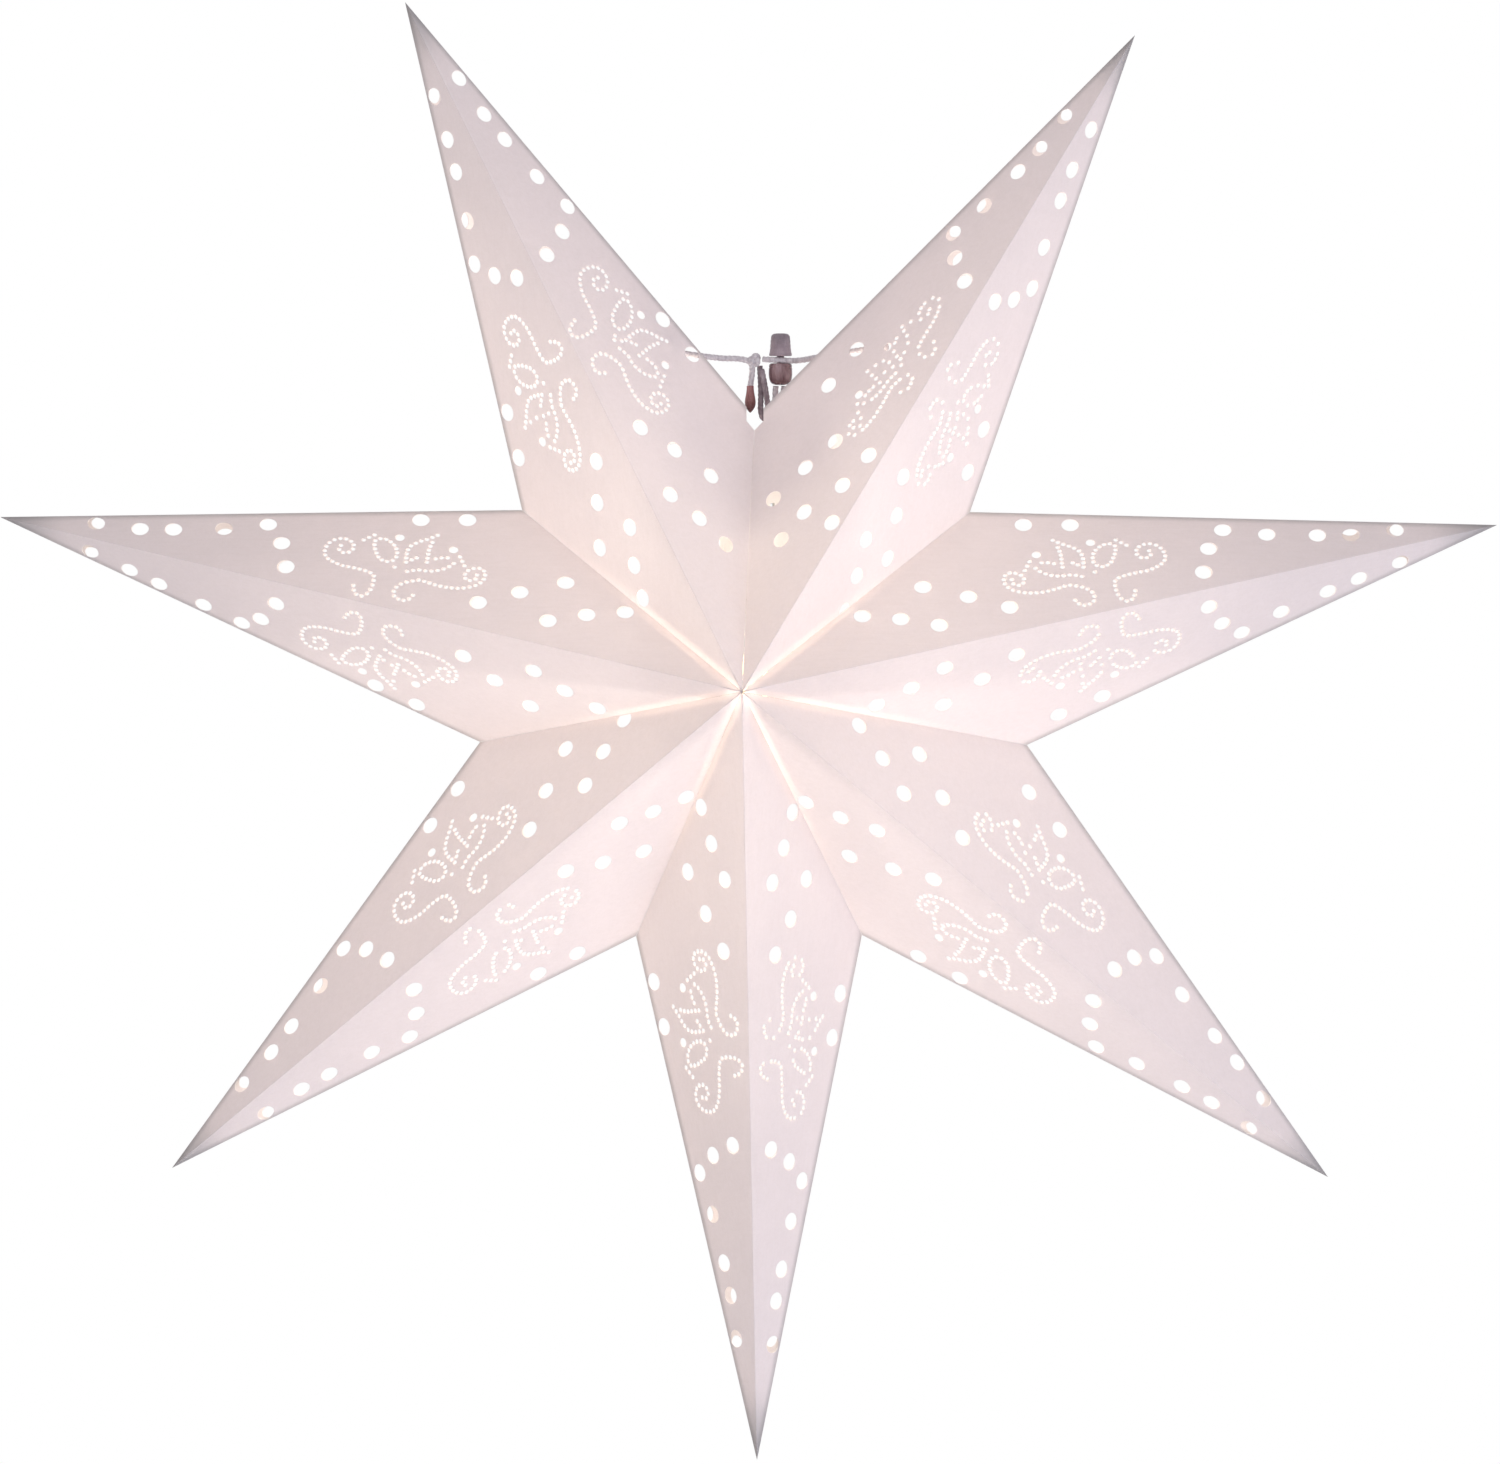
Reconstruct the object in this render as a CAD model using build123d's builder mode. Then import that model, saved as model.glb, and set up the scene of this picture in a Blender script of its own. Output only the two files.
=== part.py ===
from build123d import *
import math
import os

os.makedirs("parts", exist_ok=True)

# ---------------------------------------------------------------------------
# Folding seven-pointed paper star lantern, 600 mm class, with its lampholder
# and bulb.  Millimetres, +Z up, front of the star towards -Y, +X to the right.
# Origin: mouth of the cord entry bore on top of the lampholder, on the axis
# that the flex hangs on.  The star's fold axis runs along Y below it.
# ---------------------------------------------------------------------------

# ---- driving dimensions ----------------------------------------------------
STAR_Z = -99.0          # height of the star's fold axis below the cord entry
AXIS_X = -5.2           # the fold axis stands a little left of the flex
HALF_DEPTH = 70.0       # apex to mid plane, front and back alike
PAPER = 0.4             # folded paper, two layers glued
SEAM_GAP = 0.05         # glue line, each side of a valley plane
FLAP = 6.0              # glue margin turned inwards along each valley
HOLE_R = 3.5            # punched hole
EDGE_KEEP = 0.9         # paper left between a hole and a fold or edge
NOTCH_HALF = 3.4        # cord notch at the open seam, half its width

# tip of each point and valley corner clockwise after it, in the mid plane,
# measured from the flex axis and from the fold axis height
POINTS = [
    ("point_top_left",    (-140.0,  276.0)),
    ("point_top_right",   ( 152.0,  262.8)),
    ("point_right",       ( 296.8,   66.8)),
    ("point_lower_right", ( 229.2, -194.0)),
    ("point_bottom",      (   0.8, -307.2)),
    ("point_lower_left",  (-233.2, -190.4)),
    ("point_left",        (-302.0,   70.0)),
]
VALLEYS = [(0.0, 110.0), (86.0, 72.0), (108.8, -21.2), (42.8, -97.2),
           (-47.6, -97.6), (-110.0, -20.0), (-93.2, 72.8)]

# punched holes of one panel on the flat template: origin at the tip, x along
# the ridge fold, y square to it; the template's apex and valley corner
TEMPLATE_APEX_X = 308.06
TEMPLATE_VALLEY = (196.4, 65.7)
TEMPLATE_HOLES = [
    (42.4, 10.0), (60.0, 12.2), (72.6, 15.8), (91.4, 22.0), (107.0, 29.4),
    (116.0, 21.2), (122.4, 10.0), (163.0, 49.8), (180.4, 55.4),
    (201.6, 14.4), (215.0, 24.4), (230.0, 35.0), (231.2, 13.6),
    (244.4, 21.2), (258.0, 27.4),
]
# how the punching sits on each panel: (xx, xy, x0, yx, yy, y0); first the
# panel clockwise of the ridge, then the other one
PUNCH_FIT = [
    ((0.996, -0.169, -5.62, -0.010, 1.040, -1.39), (1.004, 0.037, -4.85, 0.010, 0.951, -0.03)),
    ((0.994, 0.111, -1.55, 0.038, 0.859, -3.35), None),
    ((0.987, 0.150, -3.65, -0.017, 0.959, 2.12), (0.981, 0.083, -3.27, -0.008, 0.991, -0.51)),
    ((1.019, -0.038, -6.54, 0.002, 1.041, -3.09), (1.015, 0.178, -6.91, -0.024, 0.877, 4.76)),
    ((0.977, -0.020, 5.08, -0.018, 1.027, 1.92), (0.979, -0.073, 3.41, 0.005, 0.913, 0.96)),
    ((0.997, -0.006, -0.01, 0.000, 0.975, 0.65), (1.007, -0.121, 1.07, -0.010, 0.952, 1.06)),
    ((0.986, 0.086, -5.17, 0.002, 1.003, -1.92), (0.984, -0.054, -5.35, 0.001, 0.997, 1.83)),
]
# the top right point's seam panel carries its own set of holes
SEAM_PANEL_HOLES = [
    (40.6, 10.0), (56.6, 11.6), (68.4, 15.0), (86.0, 20.6), (100.4, 27.0),
    (110.4, 19.6), (118.6, 9.4), (158.0, 38.6), (175.6, 41.4),
    (199.4, 6.0), (214.4, 9.4), (230.4, 4.6), (197.6, 23.6),
    (211.4, 30.0), (227.4, 36.0), (229.4, 19.0), (243.0, 22.0),
]

# lampholder and bulb, heights below the cord entry
FLEX_R = 2.9            # cord entry bore
GRIP_HEAD_R = 6.0
GRIP_LEN = 12.0
HOLDER_R = 14.0
SHELL_IN_R = 7.2        # small screw cap, 14 mm
BULB_CAP_R = 6.85
BULB_R = 22.5
BULB_CENTRE_Z = -99.5

# tie
STRING_R = 1.2
WAIST_Z = 132.9         # height of the tie above the fold axis
LOCK_X, LOCK_Y = 10.2, 11.0

# ---- small geometry helpers -------------------------------------------------


def P(x, y, h):
    """A point given by its height above the fold axis."""
    return Vector(x, y, STAR_Z + h)


def panel_frame(tip, apex, valley):
    """Local frame of a panel: origin at the tip, x along the ridge fold, the
    valley corner on the +y side; returns the plane and the flat lengths."""
    t, c, v = tip, apex, valley
    x_dir = (c - t).normalized()
    along = (v - t).dot(x_dir)
    y_dir = ((v - t) - x_dir * along).normalized()
    z_dir = x_dir.cross(y_dir)
    return Plane(origin=t, x_dir=x_dir, z_dir=z_dir), (c - t).length, along, (v - t).dot(y_dir)


def panel_holes(index, side, apex_x, vx, vy):
    """Hole centres of one panel in its own flat frame, kept off the folds."""
    fit = PUNCH_FIT[index][side]
    raw = SEAM_PANEL_HOLES if fit is None else [
        (fit[0] * x + fit[1] * y + fit[2], fit[3] * x + fit[4] * y + fit[5])
        for x, y in TEMPLATE_HOLES]
    keep = HOLE_R + EDGE_KEEP
    edge = math.hypot(vx, vy)
    va = math.hypot(apex_x - vx, vy)
    out = []
    for n, (x, y) in enumerate(raw):
        b = y / TEMPLATE_VALLEY[1]
        a = (x - b * TEMPLATE_VALLEY[0]) / TEMPLATE_APEX_X
        px, py = a * apex_x + b * vx, b * vy
        py = max(py, keep)
        for _ in range(3):
            off = (px * vy - py * vx) / edge          # inside the tip-valley edge
            if off < keep:
                px += (keep - off) * vy / edge
                py -= (keep - off) * vx / edge
            inner = ((apex_x - px) * vy - py * (apex_x - vx)) / va
            last = n == len(TEMPLATE_HOLES) - 1 and fit is not None and index not in (0,)
            if not last and inner < keep:
                px -= (keep - inner) * vy / va
                py -= (keep - inner) * (apex_x - vx) / va
            py = max(py, keep)
        out.append((px, py))
    return out


def tube_radii(points, share=0.45):
    """Bend radius at each inner corner of a cord route."""
    radii = []
    for a, b, c in zip(points, points[1:], points[2:]):
        turn = math.radians((b - a).get_angle(c - b))
        radii.append(share * min((b - a).length, (c - b).length) / math.tan(turn / 2))
    return radii


def report_cord(name, points, radii, section, volume):
    runs = sum((b - a).length for a, b in zip(points, points[1:]))
    for a, b, c, r in zip(points, points[1:], points[2:], radii):
        turn = math.radians((b - a).get_angle(c - b))
        runs -= 2 * r * math.tan(turn / 2) - r * turn
    print(f"{name}: length {runs:.1f} mm, volume {volume:.2f}, section x length "
          f"{runs * section:.2f}, radii {[round(r, 1) for r in radii]}")


# ---- the seven paper points ---------------------------------------------------
# Each is one folded sheet: two front panels and two back panels around a hollow
# spike, with a narrow margin turned inwards along each valley, where the next
# point is glued on.  The two flanks at the top seam have no margin: that seam
# stays open and is tied.

FRONT_APEX = P(AXIS_X, -HALF_DEPTH, 0)
BACK_APEX = P(AXIS_X, HALF_DEPTH, 0)
ANCHOR = {}

for index, (label, tip_xz) in enumerate(POINTS):
    tip = P(tip_xz[0], 0, tip_xz[1])
    valley_xz = (VALLEYS[index], VALLEYS[index - 1])
    valley = [P(v[0], 0, v[1]) for v in valley_xz]
    axis_pt = P(AXIS_X, 0, 0)
    with BuildPart() as point:
        for side in (0, 1):
            for apex in (FRONT_APEX, BACK_APEX):
                plane, apex_x, vx, vy = panel_frame(tip, apex, valley[side])
                holes = panel_holes(index, side, apex_x, vx, vy)
                inside = (axis_pt - tip).dot(plane.z_dir) > 0
                if apex is BACK_APEX and (index, side) in ((0, 0), (1, 1)):
                    pick = 8 if index == 0 else 7
                    at = plane.from_local_coords(Vector(holes[pick][0], holes[pick][1], 0))
                    ANCHOR[index] = (at, plane.z_dir * (-1 if inside else 1))
                with BuildSketch(plane):
                    with BuildLine():
                        Polyline((0, 0), (apex_x, 0), (vx, vy), close=True)
                    make_face()
                    with Locations(*holes):
                        Circle(HOLE_R, mode=Mode.SUBTRACT)
                extrude(amount=PAPER if inside else -PAPER)
        # margins turned inwards along the valleys
        for side in (0, 1):
            if (index, side) in ((0, 0), (1, 1)):
                continue
            to_v = valley[side] - axis_pt
            rv = to_v.length
            radial = to_v.normalized()
            into = Vector(0, 1, 0).cross(radial)
            if into.dot(tip - axis_pt) < 0:
                into = into * -1
            origin = axis_pt + into * SEAM_GAP
            flap_plane = Plane(origin=origin, x_dir=radial, z_dir=into)
            sign = 1 if flap_plane.y_dir.dot(Vector(0, 1, 0)) > 0 else -1
            slant = math.hypot(rv, HALF_DEPTH)
            dy, du = FLAP * slant / rv, FLAP * slant / HALF_DEPTH
            u0 = 7.0
            y0 = HALF_DEPTH * (1 - u0 / rv)
            tie_in = 0.5
            with BuildSketch(flap_plane):
                with BuildLine():
                    Polyline((u0, -y0), (rv - tie_in, 0), (u0, y0), (u0, y0 - dy),
                             (rv - du, 0), (u0, -y0 + dy), close=True)
                make_face()
            extrude(amount=PAPER)
        # trim to the wedge between the two valley planes
        dirs = [(v - axis_pt).normalized() for v in valley]
        mid = (tip - axis_pt).normalized()
        half = math.radians(dirs[0].get_angle(dirs[1])) / 2
        bis = (dirs[0] + dirs[1]).normalized()
        start = axis_pt + bis * (SEAM_GAP / math.sin(half))
        far = [start, start + dirs[0] * 330, start + mid * 420, start + dirs[1] * 330]
        wedge_plane = Plane(origin=(0, 0, 0), x_dir=(1, 0, 0), z_dir=(0, -1, 0))
        with BuildSketch(wedge_plane):
            with BuildLine():
                Polyline(*[(p.X, p.Z) for p in far], close=True)
            make_face()
        extrude(amount=HALF_DEPTH + 5, both=True, mode=Mode.INTERSECT)
        # notch for the flex at the open seam
        if index in (0, 1):
            with Locations((0, 0, STAR_Z + 112)):
                Box(2 * NOTCH_HALF, 2 * NOTCH_HALF, 40, mode=Mode.SUBTRACT)
    point.part.label = label
    export_step(point.part, f"parts/{label}.step")
    print(label, "solids", len(point.solids()), "volume", round(point.part.volume))

print("anchor holes", {k: (tuple(round(c, 2) for c in v[0]), tuple(round(c, 3) for c in v[1]))
                       for k, v in ANCHOR.items()})

# ---- lampholder -----------------------------------------------------------------

with BuildPart() as cord_grip:
    with BuildSketch(Plane.XZ):
        with BuildLine():
            Polyline((FLEX_R, 0), (GRIP_HEAD_R - 1.2, 0), (GRIP_HEAD_R, -1.2),
                     (GRIP_HEAD_R, -6), (4.5, -6), (4.5, -GRIP_LEN), (FLEX_R, -GRIP_LEN),
                     close=True)
        make_face()
    revolve(axis=Axis.Z)
    with PolarLocations(GRIP_HEAD_R + 0.35, 12):
        Cylinder(0.7, 3.6, align=(Align.CENTER, Align.CENTER, Align.MAX), mode=Mode.SUBTRACT)
cord_grip.part.label = "cord_grip"
export_step(cord_grip.part, "parts/cord_grip.step")

with BuildPart() as holder_cap:
    with BuildSketch(Plane.XZ):
        with BuildLine():
            Polyline((4.5, -6), (7.0, -6), (7.0, -10.5), (8.6, -12.4), (12.6, -15.6),
                     (HOLDER_R, -18.6), (HOLDER_R, -34), (12.3, -34), (12.3, -19.4),
                     (11.2, -17.2), (7.4, -14.2), (4.5, -12.6), close=True)
        make_face()
    revolve(axis=Axis.Z)
    # set screw hole that pinches the grip, at the back of the neck
    with Locations(Location((0, 5.8, -8.4), (90, 0, 0))):
        Cylinder(1.25, 4.0, mode=Mode.SUBTRACT)
    # vent slots round the shoulder
    with PolarLocations(HOLDER_R, 6, start_angle=0):
        with Locations((0, 0, -27)):
            Box(4.0, 2.0, 7.0, mode=Mode.SUBTRACT)
holder_cap.part.label = "holder_cap"
export_step(holder_cap.part, "parts/holder_cap.step")

with BuildPart() as grip_screw:
    with BuildSketch(Plane(origin=(0, 4.5, -8.4), x_dir=(1, 0, 0), z_dir=(0, 1, 0))):
        Circle(1.25)
    extrude(amount=3.1)
    with BuildSketch(Plane(origin=(0, 7.6, -8.4), x_dir=(1, 0, 0), z_dir=(0, 1, 0))):
        Rectangle(1.8, 0.5)
    extrude(amount=-0.7, mode=Mode.SUBTRACT)
grip_screw.part.label = "grip_screw"
export_step(grip_screw.part, "parts/grip_screw.step")

with BuildPart() as holder_body:
    with BuildSketch(Plane.XZ):
        with BuildLine():
            Polyline((10.9, -30), (12.1, -30), (12.1, -34.1), (HOLDER_R, -34.1),
                     (HOLDER_R, -58), (13.2, -62), (11.6, -62), (11.9, -58), (11.9, -42.5),
                     (9.6, -42.5), (9.6, -40), (10.9, -40), close=True)
        make_face()
    revolve(axis=Axis.Z)
    with PolarLocations(HOLDER_R + 0.6, 24):
        with Locations((0, 0, -48)):
            Cylinder(0.9, 16, mode=Mode.SUBTRACT)
holder_body.part.label = "holder_body"
export_step(holder_body.part, "parts/holder_body.step")

with BuildPart() as contact_carrier:
    with BuildSketch(Plane.XY.offset(-40)):
        Circle(10.8)
    extrude(amount=6)
    with Locations((6.4, 0, -34), (-6.4, 0, -34)):
        Cylinder(1.3, 5.0, align=(Align.CENTER, Align.CENTER, Align.MAX), mode=Mode.SUBTRACT)
    with Locations((0, 7.6, -40), (0, -7.6, -40)):
        Cylinder(1.6, 6.0, align=(Align.CENTER, Align.CENTER, Align.MIN), mode=Mode.SUBTRACT)
contact_carrier.part.label = "contact_carrier"
export_step(contact_carrier.part, "parts/contact_carrier.step")

with BuildPart() as terminal_screws:
    for sx in (6.4, -6.4):
        with BuildSketch(Plane.XY.offset(-34)):
            with Locations((sx, 0)):
                Circle(1.3)
        extrude(amount=-5.0)
        with BuildSketch(Plane.XY.offset(-34)):
            with Locations((sx, 0)):
                Circle(2.5)
        extrude(amount=1.8)
        with BuildSketch(Plane.XY.offset(-32.2)):
            with Locations((sx, 0)):
                Rectangle(3.8, 0.7)
        extrude(amount=-0.8, mode=Mode.SUBTRACT)
terminal_screws.part.label = "terminal_screws"
export_step(terminal_screws.part, "parts/terminal_screws.step")

with BuildPart() as centre_contact:
    with BuildSketch(Plane.XZ.offset(-1.5)):
        with BuildLine():
            Polyline((-4.6, -40), (-4.0, -40), (-3.2, -42.6), (2.6, -43.4), (2.6, -43.9),
                     (-3.6, -43.1), (-4.6, -40.6), close=True)
        make_face()
    extrude(amount=3.0)
centre_contact.part.label = "centre_contact"
export_step(centre_contact.part, "parts/centre_contact.step")

with BuildPart() as screw_shell:
    with BuildSketch(Plane.XZ):
        with BuildLine():
            Polyline((SHELL_IN_R, -40.4), (SHELL_IN_R, -58), (SHELL_IN_R + 0.4, -58),
                     (SHELL_IN_R + 0.4, -40.8), (9.0, -40.8), (9.0, -40.0), (SHELL_IN_R, -40.0),
                     close=True)
        make_face()
    revolve(axis=Axis.Z)
screw_shell.part.label = "screw_shell"
export_step(screw_shell.part, "parts/screw_shell.step")

# ---- bulb -------------------------------------------------------------------------

with BuildPart() as bulb_tip_contact:
    with BuildSketch(Plane.XZ):
        with BuildLine():
            Polyline((0, -44.2), (1.6, -44.4), (2.3, -45.0), (2.3, -45.6), (0, -45.6), close=True)
        make_face()
    revolve(axis=Axis.Z)
bulb_tip_contact.part.label = "bulb_tip_contact"
export_step(bulb_tip_contact.part, "parts/bulb_tip_contact.step")

with BuildPart() as bulb_insulator:
    with BuildSketch(Plane.XZ):
        with BuildLine():
            Polyline((0, -45.6), (2.9, -45.6), (6.1, -48.4), (6.1, -49.4), (0, -49.4), close=True)
        make_face()
    revolve(axis=Axis.Z)
bulb_insulator.part.label = "bulb_insulator"
export_step(bulb_insulator.part, "parts/bulb_insulator.step")

THREAD_PITCH = 2.82
with BuildPart() as bulb_cap:
    ridge = [(6.1, -48.0), (6.35, -48.2)]
    z = -49.6
    while z > -58.6:
        ridge += [(6.25, z), (BULB_CAP_R, z - THREAD_PITCH * 0.5)]
        z -= THREAD_PITCH
    ridge += [(6.3, -61.2), (8.3, -62.4), (8.3, -64.2)]
    with BuildSketch(Plane.XZ):
        with BuildLine():
            Polyline(*ridge, (7.8, -64.2), (5.8, -61.6), (5.8, -49.4), (6.1, -49.4), close=True)
        make_face()
    revolve(axis=Axis.Z)
bulb_cap.part.label = "bulb_cap"
export_step(bulb_cap.part, "parts/bulb_cap.step")

GLASS_WALL = 0.8
NECK_R = 8.2
neck_z = -64.2
with BuildPart() as bulb_glass:
    with BuildSketch(Plane.XZ):
        with BuildLine():
            s0 = (NECK_R, neck_z)
            s1 = (BULB_R * math.cos(math.radians(38)), BULB_CENTRE_Z + BULB_R * math.sin(math.radians(38)))
            Spline(s0, s1, tangents=[(0.05, -1), (math.sin(math.radians(38)), -math.cos(math.radians(38)))])
            ThreePointArc(s1, (BULB_R * math.cos(math.radians(-26)), BULB_CENTRE_Z + BULB_R * math.sin(math.radians(-26))),
                          (0, BULB_CENTRE_Z - BULB_R))
            q = BULB_R - GLASS_WALL
            t1 = (q * math.cos(math.radians(38)), BULB_CENTRE_Z + q * math.sin(math.radians(38)))
            Line((0, BULB_CENTRE_Z - BULB_R), (0, BULB_CENTRE_Z - q))
            ThreePointArc((0, BULB_CENTRE_Z - q), (q * math.cos(math.radians(-26)), BULB_CENTRE_Z + q * math.sin(math.radians(-26))), t1)
            Spline(t1, (NECK_R - GLASS_WALL, neck_z), tangents=[(-math.sin(math.radians(38)), math.cos(math.radians(38))), (-0.05, 1)])
            Line((NECK_R - GLASS_WALL, neck_z), s0)
        make_face()
    revolve(axis=Axis.Z)
bulb_glass.part.label = "bulb_glass"
export_step(bulb_glass.part, "parts/bulb_glass.step")

with BuildPart() as bulb_stem:
    with BuildSketch(Plane.XZ):
        with BuildLine():
            Polyline((0, -63), (5.6, -63), (4.6, -65.5), (2.0, -72), (1.6, -83.55), (0, -83.55), close=True)
        make_face()
    revolve(axis=Axis.Z)
bulb_stem.part.label = "bulb_stem"
export_step(bulb_stem.part, "parts/bulb_stem.step")

with BuildPart() as led_filaments:
    with BuildSketch(Plane.XY.offset(-84)):
        with PolarLocations(5.6, 4, start_angle=45):
            Circle(0.9)
    extrude(amount=-26)
led_filaments.part.label = "led_filaments"
export_step(led_filaments.part, "parts/led_filaments.step")

# crossed hangers join the four filaments to the stem
with BuildPart() as filament_wires:
    for ang in (45, 135):
        with BuildSketch(Plane(origin=(0, 0, -83.55), x_dir=(math.cos(math.radians(ang)), math.sin(math.radians(ang)), 0), z_dir=(0, 0, 1))):
            Rectangle(12.6, 0.6)
        extrude(amount=-0.45)
filament_wires.part.label = "filament_wires"
export_step(filament_wires.part, "parts/filament_wires.step")

print("lamp done")

# ---- tie at the open seam --------------------------------------------------------
left_at, left_n = ANCHOR[0]
right_at, right_n = ANCHOR[1]
lz, rz = left_at.Z - STAR_Z, right_at.Z - STAR_Z
section = math.pi * STRING_R ** 2

# left string: stopper knot inside, out of the hole, across to the centre knot,
# then down to its aglet
l_mid = P(-15.0, 8.5, 133.4)
l_in = left_at + (left_at - l_mid).normalized() * 10.0
left_route = [l_in, l_mid, P(-6.5, 10.0, 133.6), P(-1.2, 10.4, 132.2), P(-1.0, 11.2, 127.4), P(-1.9, 11.4, 122.6)]
left_radii = tube_radii(left_route)
with BuildPart() as tie_string_left:
    with BuildLine() as route:
        FilletPolyline(*left_route, radius=left_radii)
    with BuildSketch(Plane(origin=route.line @ 0, z_dir=route.line % 0)):
        Circle(STRING_R)
    sweep()
tie_string_left.part.label = "tie_string_left"
export_step(tie_string_left.part, "parts/tie_string_left.step")
report_cord("tie_string_left", left_route, left_radii, section, tie_string_left.part.volume)

with BuildPart() as stop_knot_left:
    with Locations(l_in):
        Sphere(3.9)
    add(tie_string_left.part, mode=Mode.SUBTRACT)
stop_knot_left.part.label = "stop_knot_left"
export_step(stop_knot_left.part, "parts/stop_knot_left.step")

with BuildPart() as aglet:
    with BuildSketch(Plane(origin=P(-1.9, 11.4, 122.6), x_dir=(1, 0, 0), z_dir=(0, -1, 0))):
        with BuildLine():
            Polyline((0, 0), (1.45, 0), (2.15, -2.6), (2.2, -5.2), (1.5, -8.6), (0.5, -10.6), (0, -10.8), close=True)
        make_face()
    revolve(axis=Axis(origin=P(-1.9, 11.4, 122.6), direction=(0, 0, 1)))
    add(tie_string_left.part, mode=Mode.SUBTRACT)
aglet.part.label = "aglet"
export_step(aglet.part, "parts/aglet.step")

with BuildPart() as tie_knot:
    with Locations(P(-0.2, 10.2, 132.9)):
        Sphere(2.9)
    add(tie_string_left.part, mode=Mode.SUBTRACT)
tie_knot.part.label = "tie_knot"
export_step(tie_knot.part, "parts/tie_knot.step")

# hanging loop under the knot
loop_route = [P(1.9, 12.6, 130.6), P(2.3, 12.9, 124.4), P(2.4, 13.1, 118.0), P(2.1, 13.0, 112.0),
              P(3.8, 12.6, 108.4), P(5.4, 11.7, 112.2), P(4.7, 10.6, 118.2), P(3.6, 9.8, 124.4), P(2.6, 9.3, 129.2)]
loop_radii = tube_radii(loop_route)
with BuildPart() as tie_loop:
    with BuildLine() as route:
        FilletPolyline(*loop_route, radius=loop_radii)
    with BuildSketch(Plane(origin=route.line @ 0, z_dir=route.line % 0)):
        Circle(STRING_R)
    sweep()
tie_loop.part.label = "tie_loop"
export_step(tie_loop.part, "parts/tie_loop.step")
report_cord("tie_loop", loop_route, loop_radii, section, tie_loop.part.volume)

# right string: from just beside the knot, round the front of the cord lock's
# waist, to its hole and stopper knot
STEM_R = 1.5
front_y = LOCK_Y - STEM_R - STRING_R - 0.3
r_mid = P(27.0, 13.0, 134.6)
r_in = right_at + (right_at - r_mid).normalized() * 9.5
right_route = [P(3.1, 9.2, 133.2), P(9.0, front_y, 132.9), P(17.4, 8.9, 132.4), r_mid, r_in]
right_radii = tube_radii(right_route)
with BuildPart() as tie_string_right:
    with BuildLine() as route:
        FilletPolyline(*right_route, radius=right_radii)
    with BuildSketch(Plane(origin=route.line @ 0, z_dir=route.line % 0)):
        Circle(STRING_R)
    sweep()
tie_string_right.part.label = "tie_string_right"
export_step(tie_string_right.part, "parts/tie_string_right.step")
report_cord("tie_string_right", right_route, right_radii, section, tie_string_right.part.volume)

with BuildPart() as stop_knot_right:
    with Locations(r_in):
        Sphere(3.9)
    add(tie_string_right.part, mode=Mode.SUBTRACT)
stop_knot_right.part.label = "stop_knot_right"
export_step(stop_knot_right.part, "parts/stop_knot_right.step")

# cord lock: barrel below, sprung button above, string clamped at the waist
lock = P(LOCK_X, LOCK_Y, 0)


def lock_plane():
    return Plane(origin=lock, x_dir=(1, 0, 0), z_dir=(0, -1, 0))


LOCK_AXIS = Axis(origin=lock, direction=(0, 0, 1))
with BuildPart() as toggle_barrel:
    with BuildSketch(lock_plane()):
        with BuildLine():
            Polyline((1.75, 131.6), (4.1, 131.6), (4.6, 131.0), (4.7, 127.0), (4.2, 124.4),
                     (3.2, 123.2), (0, 122.8), (0, 124.2), (3.0, 124.6), (3.3, 126.0),
                     (3.3, 130.2), (1.75, 130.2), close=True)
        make_face()
    revolve(axis=LOCK_AXIS)
toggle_barrel.part.label = "toggle_barrel"
export_step(toggle_barrel.part, "parts/toggle_barrel.step")

with BuildPart() as toggle_button:
    with BuildSketch(lock_plane()):
        with BuildLine():
            Polyline((0, 143.6), (3.0, 143.4), (3.9, 142.4), (4.1, 138.4), (4.6, 134.8),
                     (4.3, 134.5), (STEM_R, 134.5), (STEM_R, 126.2), (2.9, 126.2), (2.9, 125.2),
                     (0, 125.2), close=True)
        make_face()
    revolve(axis=LOCK_AXIS)
toggle_button.part.label = "toggle_button"
export_step(toggle_button.part, "parts/toggle_button.step")

with BuildPart() as toggle_spring:
    with BuildLine() as coil:
        Helix(pitch=0.78, height=3.12, radius=2.3, center=P(LOCK_X, LOCK_Y, 126.64), direction=(0, 0, 1))
    with BuildSketch(Plane(origin=coil.line @ 0, z_dir=coil.line % 0)):
        Circle(0.25)
    sweep(is_frenet=True)
toggle_spring.part.label = "toggle_spring"
export_step(toggle_spring.part, "parts/toggle_spring.step")

# the two loose strands below the cord lock, each its own solid
with BuildPart() as toggle_tails:
    for route_pts in (
            [P(8.3, 11.6, 122.4), P(8.0, 12.1, 118.4), P(8.3, 12.9, 114.2), P(8.9, 13.4, 109.8)],
            [P(11.6, 11.4, 122.4), P(11.2, 11.9, 118.0), P(11.5, 12.8, 113.8), P(12.4, 13.4, 108.8)]):
        rr = tube_radii(route_pts)
        with BuildLine() as route:
            FilletPolyline(*route_pts, radius=rr)
        with BuildSketch(Plane(origin=route.line @ 0, z_dir=route.line % 0)):
            Circle(STRING_R)
        sweep(path=route.line)
toggle_tails.part.label = "toggle_tails"
export_step(toggle_tails.part, "parts/toggle_tails.step")
print("toggle_tails volume", round(toggle_tails.part.volume, 2))
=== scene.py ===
import math

import bpy
import numpy as np
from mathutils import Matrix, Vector
from mathutils.geometry import delaunay_2d_cdt


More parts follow.
